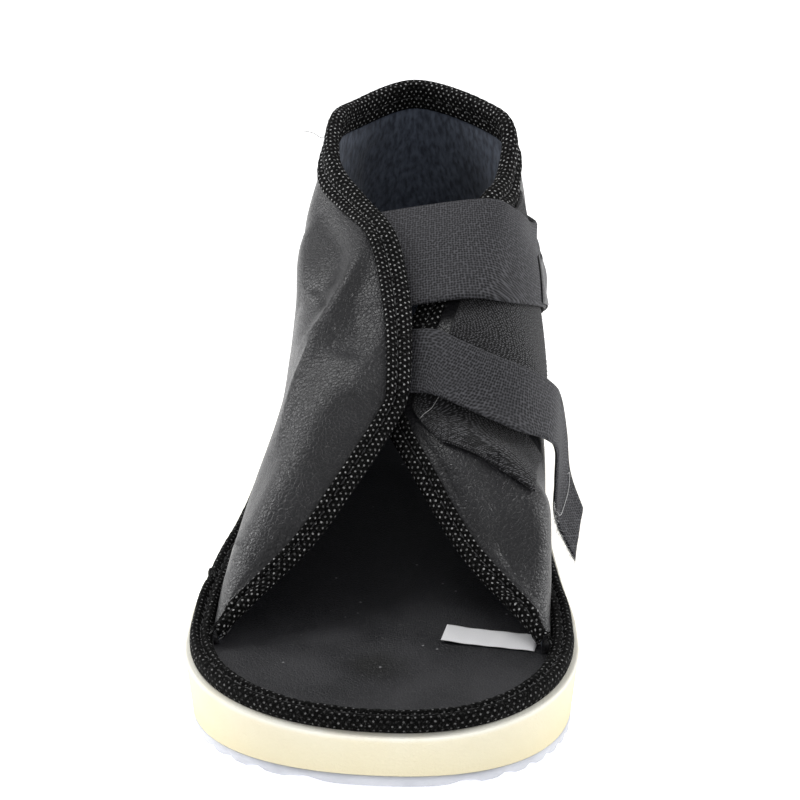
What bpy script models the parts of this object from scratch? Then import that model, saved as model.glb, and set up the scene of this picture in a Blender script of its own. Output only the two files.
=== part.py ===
"""Open-toe cast shoe with a wrap-over upper and two hook-and-loop straps, standing empty on its sole.

The toe points to -Y, the heel to +Y and the straps fasten on the +X side. The origin is on the floor
plane, halfway along the sole. Every place on the upper is read from one function, upper_point, so the
tape, the patches and the straps follow the leather wherever it goes.
"""
import math

import bmesh
import bpy
import numpy as np

MM = 0.001

# Sole
SOLE_LENGTH = 300 * MM
BALL_WIDTH = 118 * MM
HEEL_WIDTH = 87 * MM
TOE_PEAK = 6 * MM
TOE_SQUARENESS = 2.15
HEEL_SQUARENESS = 2.4
SOLE_HEIGHT = 24 * MM
SOLE_LEDGE = 1.5 * MM
SOLE_TAPER = 2 * MM
SOLE_EDGE = 0.6 * MM
SOLE_POINTS = 90
TREAD_THICKNESS = 3.6 * MM
TREAD_RIB_PITCH = 7 * MM
TREAD_RIB_DEPTH = 1.2 * MM
TREAD_RIB_LAND = 3.2 * MM
TOE_SPRING = 6 * MM
TOE_SPRING_START = 62 * MM
HEEL_LIFT = 3 * MM
HEEL_LIFT_START = 45 * MM

# Footbed and the tape rolled round its edge
FOOTBED_THICKNESS = 2.3 * MM
RIM_WIDTH = 7 * MM
RIM_HEIGHT = 5 * MM
RIM_COVER = 2.5 * MM

# Upper
FLAP_FRONT = 46.5 * MM
COLLAR_HEIGHT = 104 * MM
WALL = 2 * MM
TAPE_WIDTH = 8.5 * MM
TAPE_THICKNESS = 0.8 * MM
TAPE_CLEARANCE = 0.5 * MM

# Hook-and-loop pieces and the label
PATCH_THICKNESS = 1.1 * MM
STRAP_THICKNESS = 1.4 * MM
STRAP_TOP_WIDTH = 49 * MM
STRAP_LOW_WIDTH = 25 * MM
STRAP_COLUMNS = 8
LABEL_LENGTH = 29 * MM
LABEL_WIDTH = 10 * MM
LABEL_THICKNESS = 0.4 * MM
LABEL_INSET = 1.2 * MM
LABEL_BACK = 8 * MM
LABEL_TURN = -9

# Clearance between neighbours that touch
GAP = 0.3 * MM

# Half-widths of the sole between ball and heel, as shares of the way from heel width to ball width
OUTLINE = (
    # along, left, right
    (0.190, 1.000, 1.000),
    (0.250, 0.981, 0.910),
    (0.300, 0.890, 0.742),
    (0.350, 0.781, 0.587),
    (0.400, 0.613, 0.452),
    (0.467, 0.439, 0.329),
    (0.550, 0.290, 0.213),
    (0.633, 0.161, 0.110),
    (0.717, 0.010, 0.030),
    (0.820, 0.000, 0.000),
)

# Ribs of the upper, from the left front corner round the heel to the right front corner.
# foot is a share of the way round the feather line. The edge's place is a share of the ball width,
# the sole length and the collar height. The last four are shares of the rib's chord: how far its lower
# handle leans in and rises, and how far its upper handle reaches out and stands above the edge.
RIBS = (
    # foot, edge_x, edge_y, edge_z, lean, rise, reach, crown
    (0.000, -0.424, 0.158, 0.046, 0.00, 0.30, 0.30, -0.10),
    (0.023, -0.214, 0.233, 0.200, 0.02, 0.40, 0.34, 0.02),
    (0.048, -0.094, 0.290, 0.338, 0.02, 0.46, 0.38, 0.06),
    (0.077, 0.015, 0.365, 0.472, 0.03, 0.50, 0.42, 0.10),
    (0.105, 0.037, 0.393, 0.545, 0.05, 0.52, 0.44, 0.13),
    (0.134, 0.035, 0.455, 0.646, 0.06, 0.52, 0.42, 0.10),
    (0.172, 0.016, 0.514, 0.727, 0.06, 0.52, 0.40, 0.07),
    (0.220, -0.030, 0.583, 0.818, 0.03, 0.52, 0.35, 0.02),
    (0.267, -0.122, 0.650, 0.857, 0.01, 0.48, 0.28, -0.07),
    (0.315, -0.215, 0.710, 0.917, 0.01, 0.42, 0.17, -0.21),
    (0.363, -0.228, 0.783, 0.975, 0.01, 0.36, 0.06, -0.32),
    (0.430, -0.170, 0.855, 0.970, -0.01, 0.34, 0.03, -0.34),
    (0.500, 0.000, 0.905, 0.992, -0.03, 0.33, 0.02, -0.34),
    (0.570, 0.210, 0.855, 0.972, -0.02, 0.34, 0.04, -0.34),
    (0.637, 0.292, 0.793, 0.940, -0.05, 0.36, 0.09, -0.32),
    (0.685, 0.272, 0.727, 0.858, -0.08, 0.42, 0.18, -0.20),
    (0.733, 0.218, 0.673, 0.832, -0.15, 0.46, 0.32, -0.06),
    (0.780, 0.152, 0.610, 0.770, -0.19, 0.48, 0.43, -0.03),
    (0.828, 0.089, 0.547, 0.690, -0.20, 0.50, 0.50, 0.00),
    (0.866, 0.023, 0.480, 0.575, -0.22, 0.50, 0.52, 0.02),
    (0.895, -0.053, 0.425, 0.455, -0.21, 0.50, 0.52, 0.05),
    (0.920, -0.012, 0.385, 0.410, -0.20, 0.50, 0.50, 0.07),
    (0.943, 0.068, 0.330, 0.330, -0.16, 0.48, 0.46, 0.06),
    (0.966, 0.194, 0.257, 0.189, -0.09, 0.44, 0.38, 0.04),
    (1.000, 0.428, 0.158, 0.046, 0.00, 0.30, 0.30, -0.10),
)

# Loop-side patches on the right flap: the part of each rib that a patch covers
LOOP_PANEL = (
    # foot, low, high
    (0.668, 0.560, 0.885),
    (0.705, 0.500, 0.885),
    (0.750, 0.450, 0.880),
    (0.800, 0.400, 0.872),
    (0.838, 0.420, 0.862),
    (0.858, 0.500, 0.852),
)
LOOP_TAPE = (
    # foot, low, high
    (0.880, 0.350, 0.840),
    (0.895, 0.360, 0.850),
    (0.908, 0.375, 0.848),
    (0.918, 0.388, 0.830),
    (0.926, 0.394, 0.790),
)

# Straps, row by row along their length: a place on the heel side and one on the toe side, each with how
# far the strap stands off as a share of its width, and the layer: -1 tucked under the left flap, 1 over
# the right flap
STRAP_TOP = (
    # back_foot, back_up, back_loose, front_foot, front_up, front_loose, layer
    (0.265, 0.910, -0.01, 0.162, 0.910, -0.01, -1),
    (0.265, 0.970, -0.02, 0.160, 0.970, -0.02, -1),
    (0.738, 0.990, 0.03, 0.838, 0.825, 0.03, 1),
    (0.708, 0.900, 0.00, 0.817, 0.700, 0.00, 1),
    (0.675, 0.810, 0.00, 0.782, 0.620, 0.00, 1),
    (0.645, 0.720, 0.00, 0.745, 0.540, 0.00, 1),
    (0.610, 0.630, 0.01, 0.708, 0.470, 0.01, 1),
    (0.585, 0.560, 0.05, 0.680, 0.420, 0.05, 1),
)
STRAP_LOW = (
    # back_foot, back_up, back_loose, front_foot, front_up, front_loose, layer
    (0.142, 0.930, -0.03, 0.106, 0.930, -0.03, -1),
    (0.140, 0.980, -0.05, 0.104, 0.980, -0.05, -1),
    (0.863, 0.880, 0.11, 0.890, 0.800, 0.11, 1),
    (0.863, 0.780, 0.12, 0.893, 0.690, 0.12, 1),
    (0.862, 0.680, 0.12, 0.895, 0.590, 0.12, 1),
    (0.854, 0.570, 0.11, 0.889, 0.490, 0.11, 1),
    (0.836, 0.480, 0.10, 0.876, 0.410, 0.09, 1),
    (0.820, 0.400, 0.11, 0.862, 0.340, 0.07, 1),
    (0.818, 0.290, 0.18, 0.861, 0.230, 0.11, 1),
    (0.826, 0.190, 0.29, 0.872, 0.120, 0.20, 1),
    (0.844, 0.110, 0.56, 0.890, 0.040, 0.52, 1),
)


def smooth(knots, values, at):
    """A smooth curve through the values, whose slope at each one follows its two neighbours."""
    knots = np.asarray(knots, dtype=float)
    values = np.asarray(values, dtype=float)
    at = np.asarray(at, dtype=float)
    step = np.diff(knots)
    chord = np.diff(values) / step
    slope = np.empty_like(values)
    slope[0] = chord[0]
    slope[-1] = chord[-1]
    slope[1:-1] = (chord[:-1] * step[1:] + chord[1:] * step[:-1]) / (step[:-1] + step[1:])
    i = np.clip(np.searchsorted(knots, at, side="right") - 1, 0, len(step) - 1)
    s = (at - knots[i]) / step[i]
    return (values[i] * (1 + 2 * s) * (1 - s) ** 2 + step[i] * slope[i] * s * (1 - s) ** 2
            + values[i + 1] * s ** 2 * (3 - 2 * s) - step[i] * slope[i + 1] * s ** 2 * (1 - s))


def superellipse(angle, half_width, depth, power):
    """Offsets across and along for one quarter of a rounded end, angle from 0 at the tip to pi / 2."""
    across = half_width * np.sin(angle) ** (2 / power)
    along = depth * np.cos(angle) ** (2 / power)
    return across, along


def half_width(along, column):
    """Half-width of the rim at a distance from the toe, on the left (1) or on the right (2)."""
    rows = np.array(OUTLINE)
    share = smooth(rows[:, 0] * SOLE_LENGTH, rows[:, column], along)
    return (HEEL_WIDTH + share * (BALL_WIDTH - HEEL_WIDTH)) / 2


def build_outline():
    """Dense outline of the rim from the toe's peak, by the left side and the heel, back to the peak."""
    quarter = np.linspace(0, math.pi / 2, 60)
    toe_end = SOLE_LEDGE
    heel_end = SOLE_LENGTH - SOLE_LEDGE
    ball = OUTLINE[0][0] * SOLE_LENGTH
    heel = OUTLINE[-1][0] * SOLE_LENGTH
    sides = np.linspace(ball, heel, 120)
    toe_left = superellipse(quarter, BALL_WIDTH / 2 + TOE_PEAK, ball - toe_end, TOE_SQUARENESS)
    toe_right = superellipse(quarter, BALL_WIDTH / 2 - TOE_PEAK, ball - toe_end, TOE_SQUARENESS)
    heel_round = superellipse(quarter, HEEL_WIDTH / 2, heel_end - heel, HEEL_SQUARENESS)
    stretches = (
        (TOE_PEAK - toe_left[0], ball - toe_left[1]),
        (-half_width(sides, 1), sides),
        (-heel_round[0][::-1], heel + heel_round[1][::-1]),
        (heel_round[0], heel + heel_round[1]),
        (half_width(sides, 2)[::-1], sides[::-1]),
        (TOE_PEAK + toe_right[0][::-1], ball - toe_right[1][::-1]),
    )
    across = np.concatenate([s[0][:-1] for s in stretches])
    along = np.concatenate([s[1][:-1] for s in stretches])
    points = np.column_stack((across, along - SOLE_LENGTH / 2))
    return resample_closed(points, 8 * SOLE_POINTS)


def resample_closed(points, count):
    """The same closed line with its points evenly spaced."""
    loop = np.vstack((points, points[:1]))
    length = np.concatenate(([0], np.cumsum(np.linalg.norm(np.diff(loop, axis=0), axis=1))))
    at = np.linspace(0, length[-1], count, endpoint=False)
    return np.column_stack([np.interp(at, length, loop[:, k]) for k in (0, 1)])


RIM_OUTLINE = build_outline()


def outline_normals(points):
    ahead = np.roll(points, -3, axis=0) - np.roll(points, 3, axis=0)
    normals = np.column_stack((-ahead[:, 1], ahead[:, 0]))
    return normals / np.linalg.norm(normals, axis=1)[:, None]


def outline(inset, count):
    """The rim's outline moved inwards, as evenly numbered points; a negative inset moves it out."""
    normals = outline_normals(RIM_OUTLINE)
    moved = RIM_OUTLINE - inset * normals
    pick = (np.arange(count) * len(moved)) // count
    return moved[pick]


FOOTBED_BOTTOM = SOLE_HEIGHT + GAP
FOOTBED_TOP = FOOTBED_BOTTOM + FOOTBED_THICKNESS
FEATHER_Z = FOOTBED_TOP + GAP
RIM_TOP = SOLE_HEIGHT + GAP + RIM_HEIGHT


def feather_line():
    """The line where the outer face of the upper meets the footbed, from corner to corner."""
    line = outline(RIM_WIDTH + GAP, len(RIM_OUTLINE))
    behind = np.flatnonzero(line[:, 1] >= FLAP_FRONT - SOLE_LENGTH / 2)
    line = line[behind[0]:behind[-1] + 1]
    length = np.concatenate(([0], np.cumsum(np.linalg.norm(np.diff(line, axis=0), axis=1))))
    return line, length / length[-1]


FEATHER, FEATHER_SHARE = feather_line()
FEATHER_OUT = outline_normals(FEATHER)
FEATHER_OUT[:3] = FEATHER_OUT[3]
FEATHER_OUT[-3:] = FEATHER_OUT[-4]
RIB_STEPS = np.linspace(0, 1, 41)


def rib_lines(foot):
    """Dense ribs of the outer face, one for each share of the way round the feather line."""
    foot = np.clip(np.asarray(foot, dtype=float), 0, 1)
    rows = np.array(RIBS)
    column = [smooth(rows[:, 0], rows[:, k], foot) for k in range(1, 8)]
    edge_x, edge_y, edge_z, lean, rise, reach, crown = column
    low = np.column_stack([np.interp(foot, FEATHER_SHARE, FEATHER[:, k]) for k in (0, 1)]
                          + [np.full_like(foot, FEATHER_Z)])
    out = np.column_stack([np.interp(foot, FEATHER_SHARE, FEATHER_OUT[:, k]) for k in (0, 1)]
                          + [np.zeros_like(foot)])
    high = np.column_stack((edge_x * BALL_WIDTH, (edge_y - 0.5) * SOLE_LENGTH,
                            FOOTBED_TOP + edge_z * COLLAR_HEIGHT))
    span = low - high
    chord = np.linalg.norm(span, axis=1)[:, None]
    flat = span * (1, 1, 0)
    flat = flat / np.maximum(np.linalg.norm(flat, axis=1), 1e-6)[:, None]
    up = np.array((0, 0, 1))
    low_handle = low + chord * (rise[:, None] * up - lean[:, None] * out)
    high_handle = high + chord * (reach[:, None] * flat + crown[:, None] * up)
    t = RIB_STEPS[None, :, None]
    return ((1 - t) ** 3 * low[:, None] + 3 * t * (1 - t) ** 2 * low_handle[:, None]
            + 3 * t ** 2 * (1 - t) * high_handle[:, None] + t ** 3 * high[:, None])


def rib_lengths(ribs):
    steps = np.linalg.norm(np.diff(ribs, axis=1), axis=2)
    return np.concatenate((np.zeros((len(ribs), 1)), np.cumsum(steps, axis=1)), axis=1)


def outer_face(foot, up):
    """Points of the outer face: foot is a share round the feather line, up a share of the rib."""
    foot = np.atleast_1d(np.asarray(foot, dtype=float))
    up = np.broadcast_to(np.asarray(up, dtype=float), foot.shape)
    ribs = rib_lines(foot)
    lengths = rib_lengths(ribs)
    points = np.empty((len(foot), 3))
    for i in range(len(foot)):
        share = lengths[i] / lengths[i, -1]
        for k in range(3):
            points[i, k] = np.interp(up[i], share, ribs[i, :, k])
        past = ribs[i, -1] - ribs[i, -2]
        points[i] += max(up[i] - 1, 0) * lengths[i, -1] * past / np.linalg.norm(past)
    return points


def face_normals(foot, up):
    """Directions away from the foot, square to the outer face."""
    small = 0.002
    foot = np.atleast_1d(np.asarray(foot, dtype=float))
    up = np.broadcast_to(np.asarray(up, dtype=float), foot.shape)
    before = np.clip(foot - small, 0, 1)
    after = np.clip(foot + small, 0, 1)
    below = np.clip(up - 6 * small, 0, 1)
    above = np.clip(up + 6 * small, 0, 1)
    along = outer_face(after, up) - outer_face(before, up)
    rise = outer_face(foot, above) - outer_face(foot, below)
    normals = np.cross(rise, along)
    return normals / np.linalg.norm(normals, axis=1)[:, None]


def upper_point(foot, up, lift):
    """A point at a height over the outer face of the upper, or under it where lift is negative."""
    lift = np.broadcast_to(np.asarray(lift, dtype=float), np.shape(np.atleast_1d(foot)))
    return outer_face(foot, up) + lift[:, None] * face_normals(foot, up)


def edge_frame(foot):
    """For each rib its length square to the edge, and the direction that runs on past the edge."""
    small = 0.003
    foot = np.atleast_1d(foot)
    lengths = rib_lengths(rib_lines(foot))[:, -1]
    along = outer_face(np.clip(foot + small, 0, 1), 1) - outer_face(np.clip(foot - small, 0, 1), 1)
    along = along / np.linalg.norm(along, axis=1)[:, None]
    rise = outer_face(foot, 1) - outer_face(foot, 0.96)
    rise = rise / np.linalg.norm(rise, axis=1)[:, None]
    past = rise - along * np.sum(rise * along, axis=1)[:, None]
    squareness = np.linalg.norm(past, axis=1)
    return lengths * squareness, past / squareness[:, None]


def over_rim(foot):
    """The share of each rib at which it stands clear over the tape round the footbed."""
    ribs = rib_lines(foot)
    lengths = rib_lengths(ribs)
    clear = RIM_TOP + 2 * GAP
    return np.array([np.interp(clear, rib[:, 2], length / length[-1])
                     for rib, length in zip(ribs[:, :20], lengths[:, :20])])


def below_edge(foot, share):
    """Where a share of the edge tape's width lies on each rib; the tape ends over the rim's tape."""
    square_length, _ = edge_frame(foot)
    width = np.minimum(TAPE_WIDTH / square_length, 1 - over_rim(foot))
    return 1 - share * width


def even_stations(count):
    """Shares of the feather line, closer together where the edge turns or runs away from the foot."""
    dense = np.linspace(0, 1, 601)
    steps = [np.linalg.norm(np.diff(outer_face(dense, up), axis=0), axis=1) for up in (0, 1)]
    length = np.concatenate(([0], np.cumsum(steps[0] + 3 * steps[1])))
    return np.interp(np.linspace(0, length[-1], count), length, dense)


STATIONS = even_stations(93)


def mesh_object(name, points, faces, material, collection):
    mesh = bpy.data.meshes.new(name)
    mesh.from_pydata([tuple(p) for p in points], [], faces)
    shape = bmesh.new()
    shape.from_mesh(mesh)
    bmesh.ops.recalc_face_normals(shape, faces=shape.faces)
    shape.to_mesh(mesh)
    shape.free()
    thing = bpy.data.objects.new(name, mesh)
    collection.objects.link(thing)
    if material:
        mesh.materials.append(material)
    return thing


def shade_round(thing, degrees):
    thing.data.shade_smooth()
    thing.data.set_sharp_from_angle(angle=math.radians(degrees))


def grid_faces(rows, columns):
    """Quads over a grid whose first index runs along the feather line and whose second runs up."""
    return [(i * columns + j, i * columns + j + 1, (i + 1) * columns + j + 1, (i + 1) * columns + j)
            for i in range(rows - 1) for j in range(columns - 1)]


def skin(name, grid, thickness, side, material, collection):
    """An open surface made solid by a Solidify modifier; side is -1 inwards and 1 outwards."""
    rows, columns = grid.shape[:2]
    mesh = bpy.data.meshes.new(name)
    mesh.from_pydata([tuple(p) for p in grid.reshape(-1, 3)], [], grid_faces(rows, columns))
    thing = bpy.data.objects.new(name, mesh)
    collection.objects.link(thing)
    mesh.materials.append(material)
    shell = thing.modifiers.new("wall", "SOLIDIFY")
    shell.thickness = thickness
    shell.offset = side
    shell.use_even_offset = True
    shade_round(thing, 50)
    return thing


def loft(name, rings, closed, material, collection):
    """Quads between sections of equal count; open ends are closed by one face each."""
    count = len(rings[0])
    faces = []
    last = len(rings) if closed else len(rings) - 1
    for i in range(last):
        j = (i + 1) % len(rings)
        for k in range(count):
            m = (k + 1) % count
            faces.append((i * count + k, i * count + m, j * count + m, j * count + k))
    if not closed:
        faces.append(tuple(range(count)))
        faces.append(tuple((len(rings) - 1) * count + k for k in reversed(range(count))))
    return mesh_object(name, np.concatenate(rings), faces, material, collection)


def plain_material(name, colour, roughness):
    material = bpy.data.materials.new(name)
    material.use_nodes = True
    shader = material.node_tree.nodes["Principled BSDF"]
    shader.inputs["Base Color"].default_value = (*colour, 1)
    shader.inputs["Roughness"].default_value = roughness
    shader.inputs["Metallic"].default_value = 0
    return material


def sole_bottom(along):
    """Height of the tread's underside over the floor, from the toe spring to the lifted heel."""
    toe = np.clip(1 - along / TOE_SPRING_START, 0, 1)
    heel = np.clip(1 - (SOLE_LENGTH - along) / HEEL_LIFT_START, 0, 1)
    return TOE_SPRING * toe ** 2 + HEEL_LIFT * heel ** 2


def side_slab(name, top, bottom, collection):
    """A slab with the same side view everywhere, wider than the sole, to cut a plan outline with."""
    reach = BALL_WIDTH
    profile = list(bottom) + list(reversed(top))
    rings = []
    for across in (-reach, reach):
        rings.append(np.array([(across, y, z) for y, z in profile]))
    thing = loft(name, rings, False, None, collection)
    thing.hide_render = True
    thing.display_type = "WIRE"
    return thing


def plan_prism(name, levels, material, collection):
    """A prism of the sole's outline, with one inset for each level."""
    rings = []
    for inset, z in levels:
        line = outline(inset, SOLE_POINTS)
        rings.append(np.column_stack((line, np.full(len(line), z))))
    return loft(name, rings, False, material, collection)


def keep_within(thing, slab):
    cut = thing.modifiers.new("side view", "BOOLEAN")
    cut.operation = "INTERSECT"
    cut.solver = "EXACT"
    cut.object = slab


def side_line(raise_by, count):
    """The sole's underside from toe to heel as (y, z) pairs, raised by a height."""
    along = np.linspace(-0.05, 1.05, count) * SOLE_LENGTH
    height = sole_bottom(np.clip(along, 0, SOLE_LENGTH)) + raise_by
    return [(a - SOLE_LENGTH / 2, h) for a, h in zip(along, height)]


def make_midsole(material, parts, cutters):
    underside = side_line(TREAD_THICKNESS + GAP, 45)
    top = [(y, SOLE_HEIGHT + SOLE_LEDGE) for y, _ in (underside[0], underside[-1])]
    slab = side_slab("cut_midsole", top, underside, cutters)
    levels = (
        (SOLE_TAPER - SOLE_LEDGE, 0),
        (-SOLE_LEDGE, SOLE_HEIGHT - SOLE_EDGE),
        (SOLE_EDGE - SOLE_LEDGE, SOLE_HEIGHT),
    )
    thing = plan_prism("midsole", levels, material, parts)
    keep_within(thing, slab)
    shade_round(thing, 30)


def make_outsole(material, parts, cutters):
    """White tread sheet under the foam, with ribs across its underside."""
    ribs = int(SOLE_LENGTH * 0.5 / TREAD_RIB_PITCH) + 2
    slope = (TREAD_RIB_PITCH - TREAD_RIB_LAND) / 4
    bottom = []
    for i in range(-ribs, ribs + 1):
        middle = i * TREAD_RIB_PITCH
        for offset, cut in ((-TREAD_RIB_LAND / 2 - slope, 1), (-TREAD_RIB_LAND / 2, 0),
                            (TREAD_RIB_LAND / 2, 0), (TREAD_RIB_LAND / 2 + slope, 1)):
            y = middle + offset
            along = min(max(middle + SOLE_LENGTH / 2, 0), SOLE_LENGTH)
            bottom.append((y, float(sole_bottom(along)) + cut * TREAD_RIB_DEPTH))
    top = side_line(TREAD_THICKNESS, 45)
    top = [(bottom[0][0], top[0][1])] + [p for p in top if bottom[0][0] < p[0] < bottom[-1][0]]
    top = top + [(bottom[-1][0], top[-1][1])]
    slab = side_slab("cut_outsole", top, bottom, cutters)
    levels = (
        (SOLE_TAPER - SOLE_LEDGE, -SOLE_LEDGE),
        (SOLE_TAPER - SOLE_LEDGE, SOLE_HEIGHT / 2),
    )
    thing = plan_prism("outsole", levels, material, parts)
    keep_within(thing, slab)
    shade_round(thing, 30)


def make_footbed(material, parts):
    inset = RIM_COVER + GAP
    levels = ((inset, FOOTBED_BOTTOM), (inset, FOOTBED_TOP))
    thing = plan_prism("footbed", levels, material, parts)
    shade_round(thing, 30)


def make_rim_binding(material, parts):
    """Rolled tape: its outer roll stands on the foam, and its inner roll lies on the footbed."""
    base = SOLE_HEIGHT + GAP
    section = (
        # inset as a share of the width, height as a share of the height
        (0.05, 0.00),
        (0.00, 0.45),
        (0.10, 0.86),
        (0.30, 1.00),
        (0.48, 0.88),
        (0.66, 1.00),
        (0.88, 0.88),
        (1.00, 0.66),
    )
    sides = [(a * RIM_WIDTH, base + b * RIM_HEIGHT) for a, b in section]
    sides = sides + [(RIM_WIDTH, FEATHER_Z), (RIM_COVER, FEATHER_Z), (RIM_COVER, base)]
    columns = [outline(inset, SOLE_POINTS) for inset, _ in sides]
    rings = []
    for i in range(SOLE_POINTS):
        rings.append(np.array([(*columns[k][i], sides[k][1]) for k in range(len(sides))]))
    thing = loft("rim_binding", rings, True, material, parts)
    shade_round(thing, 60)


def make_upper(material, parts):
    """The leather shell, lofted from one section at each station: up its outer face, down its inner."""
    heights = [share * below_edge(STATIONS, 1) for share in np.linspace(0, 1, 9)]
    heights = heights + [below_edge(STATIONS, 0.5), np.ones_like(STATIONS)]
    outer = [outer_face(STATIONS, up) for up in heights]
    inner = [upper_point(STATIONS, up, -WALL) for up in reversed(heights)]
    rings = [np.array([column[i] for column in outer + inner]) for i in range(len(STATIONS))]
    thing = loft("upper", rings, False, material, parts)
    shade_round(thing, 50)


def make_edge_binding(material, parts):
    """Tape folded over the edge: one leg on each face of the wall and a roll past its edge."""
    _, past = edge_frame(STATIONS)
    top = TAPE_CLEARANCE + TAPE_THICKNESS
    low = -WALL - top
    inner = -WALL - TAPE_CLEARANCE
    section = (
        # share of the tape's width, distance past the edge, height over the outer face
        (1, 0, top), (0.5, 0, top), (0, 0, top), (0, top, -WALL / 2),
        (0, 0, low), (0.5, 0, low), (1, 0, low),
        (1, 0, inner), (0.5, 0, inner), (0, GAP, inner),
        (0, GAP, TAPE_CLEARANCE), (0.5, 0, TAPE_CLEARANCE), (1, 0, TAPE_CLEARANCE),
    )
    columns = []
    for share, beyond, height in section:
        up = below_edge(STATIONS, share)
        columns.append(upper_point(STATIONS, up, height) + beyond * past)
    rings = [np.array([column[i] for column in columns]) for i in range(len(STATIONS))]
    thing = loft("edge_binding", rings, False, material, parts)
    shade_round(thing, 50)


def make_patch(name, table, material, parts):
    """A patch sewn on the right flap, which follows the leather at the sewing clearance."""
    rows = np.array(table)
    foot = np.linspace(rows[0, 0], rows[-1, 0], 13)
    low = smooth(rows[:, 0], rows[:, 1], foot)
    high = smooth(rows[:, 0], rows[:, 2], foot)
    grid = []
    for share in np.linspace(0, 1, 11):
        grid.append(upper_point(foot, low + share * (high - low), 2 * GAP))
    skin(name, np.stack(grid, axis=1), PATCH_THICKNESS, 1, material, parts)


def make_strap(name, table, width, material, parts):
    """A strap of even width that follows the flaps at its layer's height, with free stretches."""
    tucked = -(WALL + TAPE_CLEARANCE + TAPE_THICKNESS + 3 * GAP + STRAP_THICKNESS)
    over = PATCH_THICKNESS + 4 * GAP
    sections = []
    for back_foot, back_up, back_loose, front_foot, front_up, front_loose, layer in table:
        lift = over if layer > 0 else tucked
        back = upper_point(back_foot, back_up, lift + back_loose * width)[0]
        front = upper_point(front_foot, front_up, lift + front_loose * width)[0]
        reach = width / np.linalg.norm(front - back)
        across = 0.5 + (np.linspace(0, 1, STRAP_COLUMNS) - 0.5) * reach
        foot = back_foot + across * (front_foot - back_foot)
        up = back_up + across * (front_up - back_up)
        loose = back_loose + across * (front_loose - back_loose)
        sections.append(upper_point(foot, up, lift + loose * width))
    sections = np.array(sections)
    steps = np.linspace(0, len(table) - 1, 3 * (len(table) - 1) + 1)
    grid = np.empty((len(steps), STRAP_COLUMNS, 3))
    for j in range(STRAP_COLUMNS):
        for k in range(3):
            grid[:, j, k] = smooth(np.arange(len(table)), sections[:, j, k], steps)
    skin(name, grid, STRAP_THICKNESS, 1, material, parts)


def make_label(material, parts):
    """Bare tab that lies on the footbed, its end tucked in at the right flap."""
    bpy.ops.mesh.primitive_cube_add(size=1)
    thing = bpy.context.object
    thing.name = "label"
    thing.data.name = "label"
    thing.data.materials.append(material)
    thing.scale = (LABEL_LENGTH, LABEL_WIDTH, LABEL_THICKNESS)
    corner_x, corner_y = FEATHER[-1]
    across = corner_x - TAPE_THICKNESS - WALL - LABEL_INSET - LABEL_LENGTH / 2
    thing.location = (across, corner_y + LABEL_BACK, FOOTBED_TOP + GAP + LABEL_THICKNESS / 2)
    thing.rotation_euler = (0, 0, math.radians(LABEL_TURN))
    for other in thing.users_collection:
        other.objects.unlink(thing)
    parts.objects.link(thing)


def clear_scene():
    for thing in list(bpy.data.objects):
        bpy.data.objects.remove(thing)


def build():
    clear_scene()
    parts = bpy.data.collections.new("cast_shoe")
    cutters = bpy.data.collections.new("cutters")
    bpy.context.scene.collection.children.link(parts)
    bpy.context.scene.collection.children.link(cutters)
    make_outsole(plain_material("white_rubber", (0.80, 0.81, 0.86), 0.6), parts, cutters)
    make_midsole(plain_material("cream_foam", (0.86, 0.78, 0.58), 0.8), parts, cutters)
    make_footbed(plain_material("footbed_leather", (0.03, 0.03, 0.035), 0.6), parts)
    make_rim_binding(plain_material("rim_tape", (0.02, 0.02, 0.02), 0.9), parts)
    make_upper(plain_material("upper_leather", (0.025, 0.025, 0.03), 0.4), parts)
    make_edge_binding(plain_material("edge_tape", (0.02, 0.02, 0.02), 0.9), parts)
    loop_pile = plain_material("loop_pile", (0.03, 0.03, 0.035), 0.95)
    make_patch("loop_panel", LOOP_PANEL, loop_pile, parts)
    make_patch("loop_tape", LOOP_TAPE, loop_pile, parts)
    webbing = plain_material("webbing", (0.06, 0.06, 0.065), 0.85)
    make_strap("strap_top", STRAP_TOP, STRAP_TOP_WIDTH, webbing, parts)
    make_strap("strap_low", STRAP_LOW, STRAP_LOW_WIDTH, webbing, parts)
    make_label(plain_material("label_tape", (0.85, 0.85, 0.85), 0.7), parts)


build()
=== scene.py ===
import math

import bmesh
import bpy
import numpy as np
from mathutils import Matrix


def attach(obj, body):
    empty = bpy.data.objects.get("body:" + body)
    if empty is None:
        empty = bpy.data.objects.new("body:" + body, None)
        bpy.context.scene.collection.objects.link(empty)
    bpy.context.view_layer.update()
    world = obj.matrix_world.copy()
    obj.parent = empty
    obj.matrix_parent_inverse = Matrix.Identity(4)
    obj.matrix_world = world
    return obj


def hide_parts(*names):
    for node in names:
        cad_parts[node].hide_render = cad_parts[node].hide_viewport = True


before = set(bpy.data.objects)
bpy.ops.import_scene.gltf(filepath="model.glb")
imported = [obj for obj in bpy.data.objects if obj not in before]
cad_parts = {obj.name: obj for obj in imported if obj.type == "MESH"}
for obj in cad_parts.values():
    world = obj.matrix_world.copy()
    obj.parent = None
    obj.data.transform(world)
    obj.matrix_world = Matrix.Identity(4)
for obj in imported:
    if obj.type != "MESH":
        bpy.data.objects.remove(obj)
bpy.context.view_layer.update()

MM = 0.001

# Camera, paper and light. The camera looks down at the toe, a little from the left. The shoe stands on
# white paper under a bright tent, with two tall soft lamps that draw the highlights on the leather.
camera = bpy.data.objects.new("camera", bpy.data.cameras.new("camera"))
bpy.context.scene.collection.objects.link(camera)
camera.location = (0.0500626, -0.9429341, 0.5026183)
camera.rotation_euler = (math.radians(65), 0, math.radians(3))
camera.data.sensor_width = 36
camera.data.lens = 142.555
camera.data.clip_start = 0.01
bpy.context.scene.camera = camera

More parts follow.
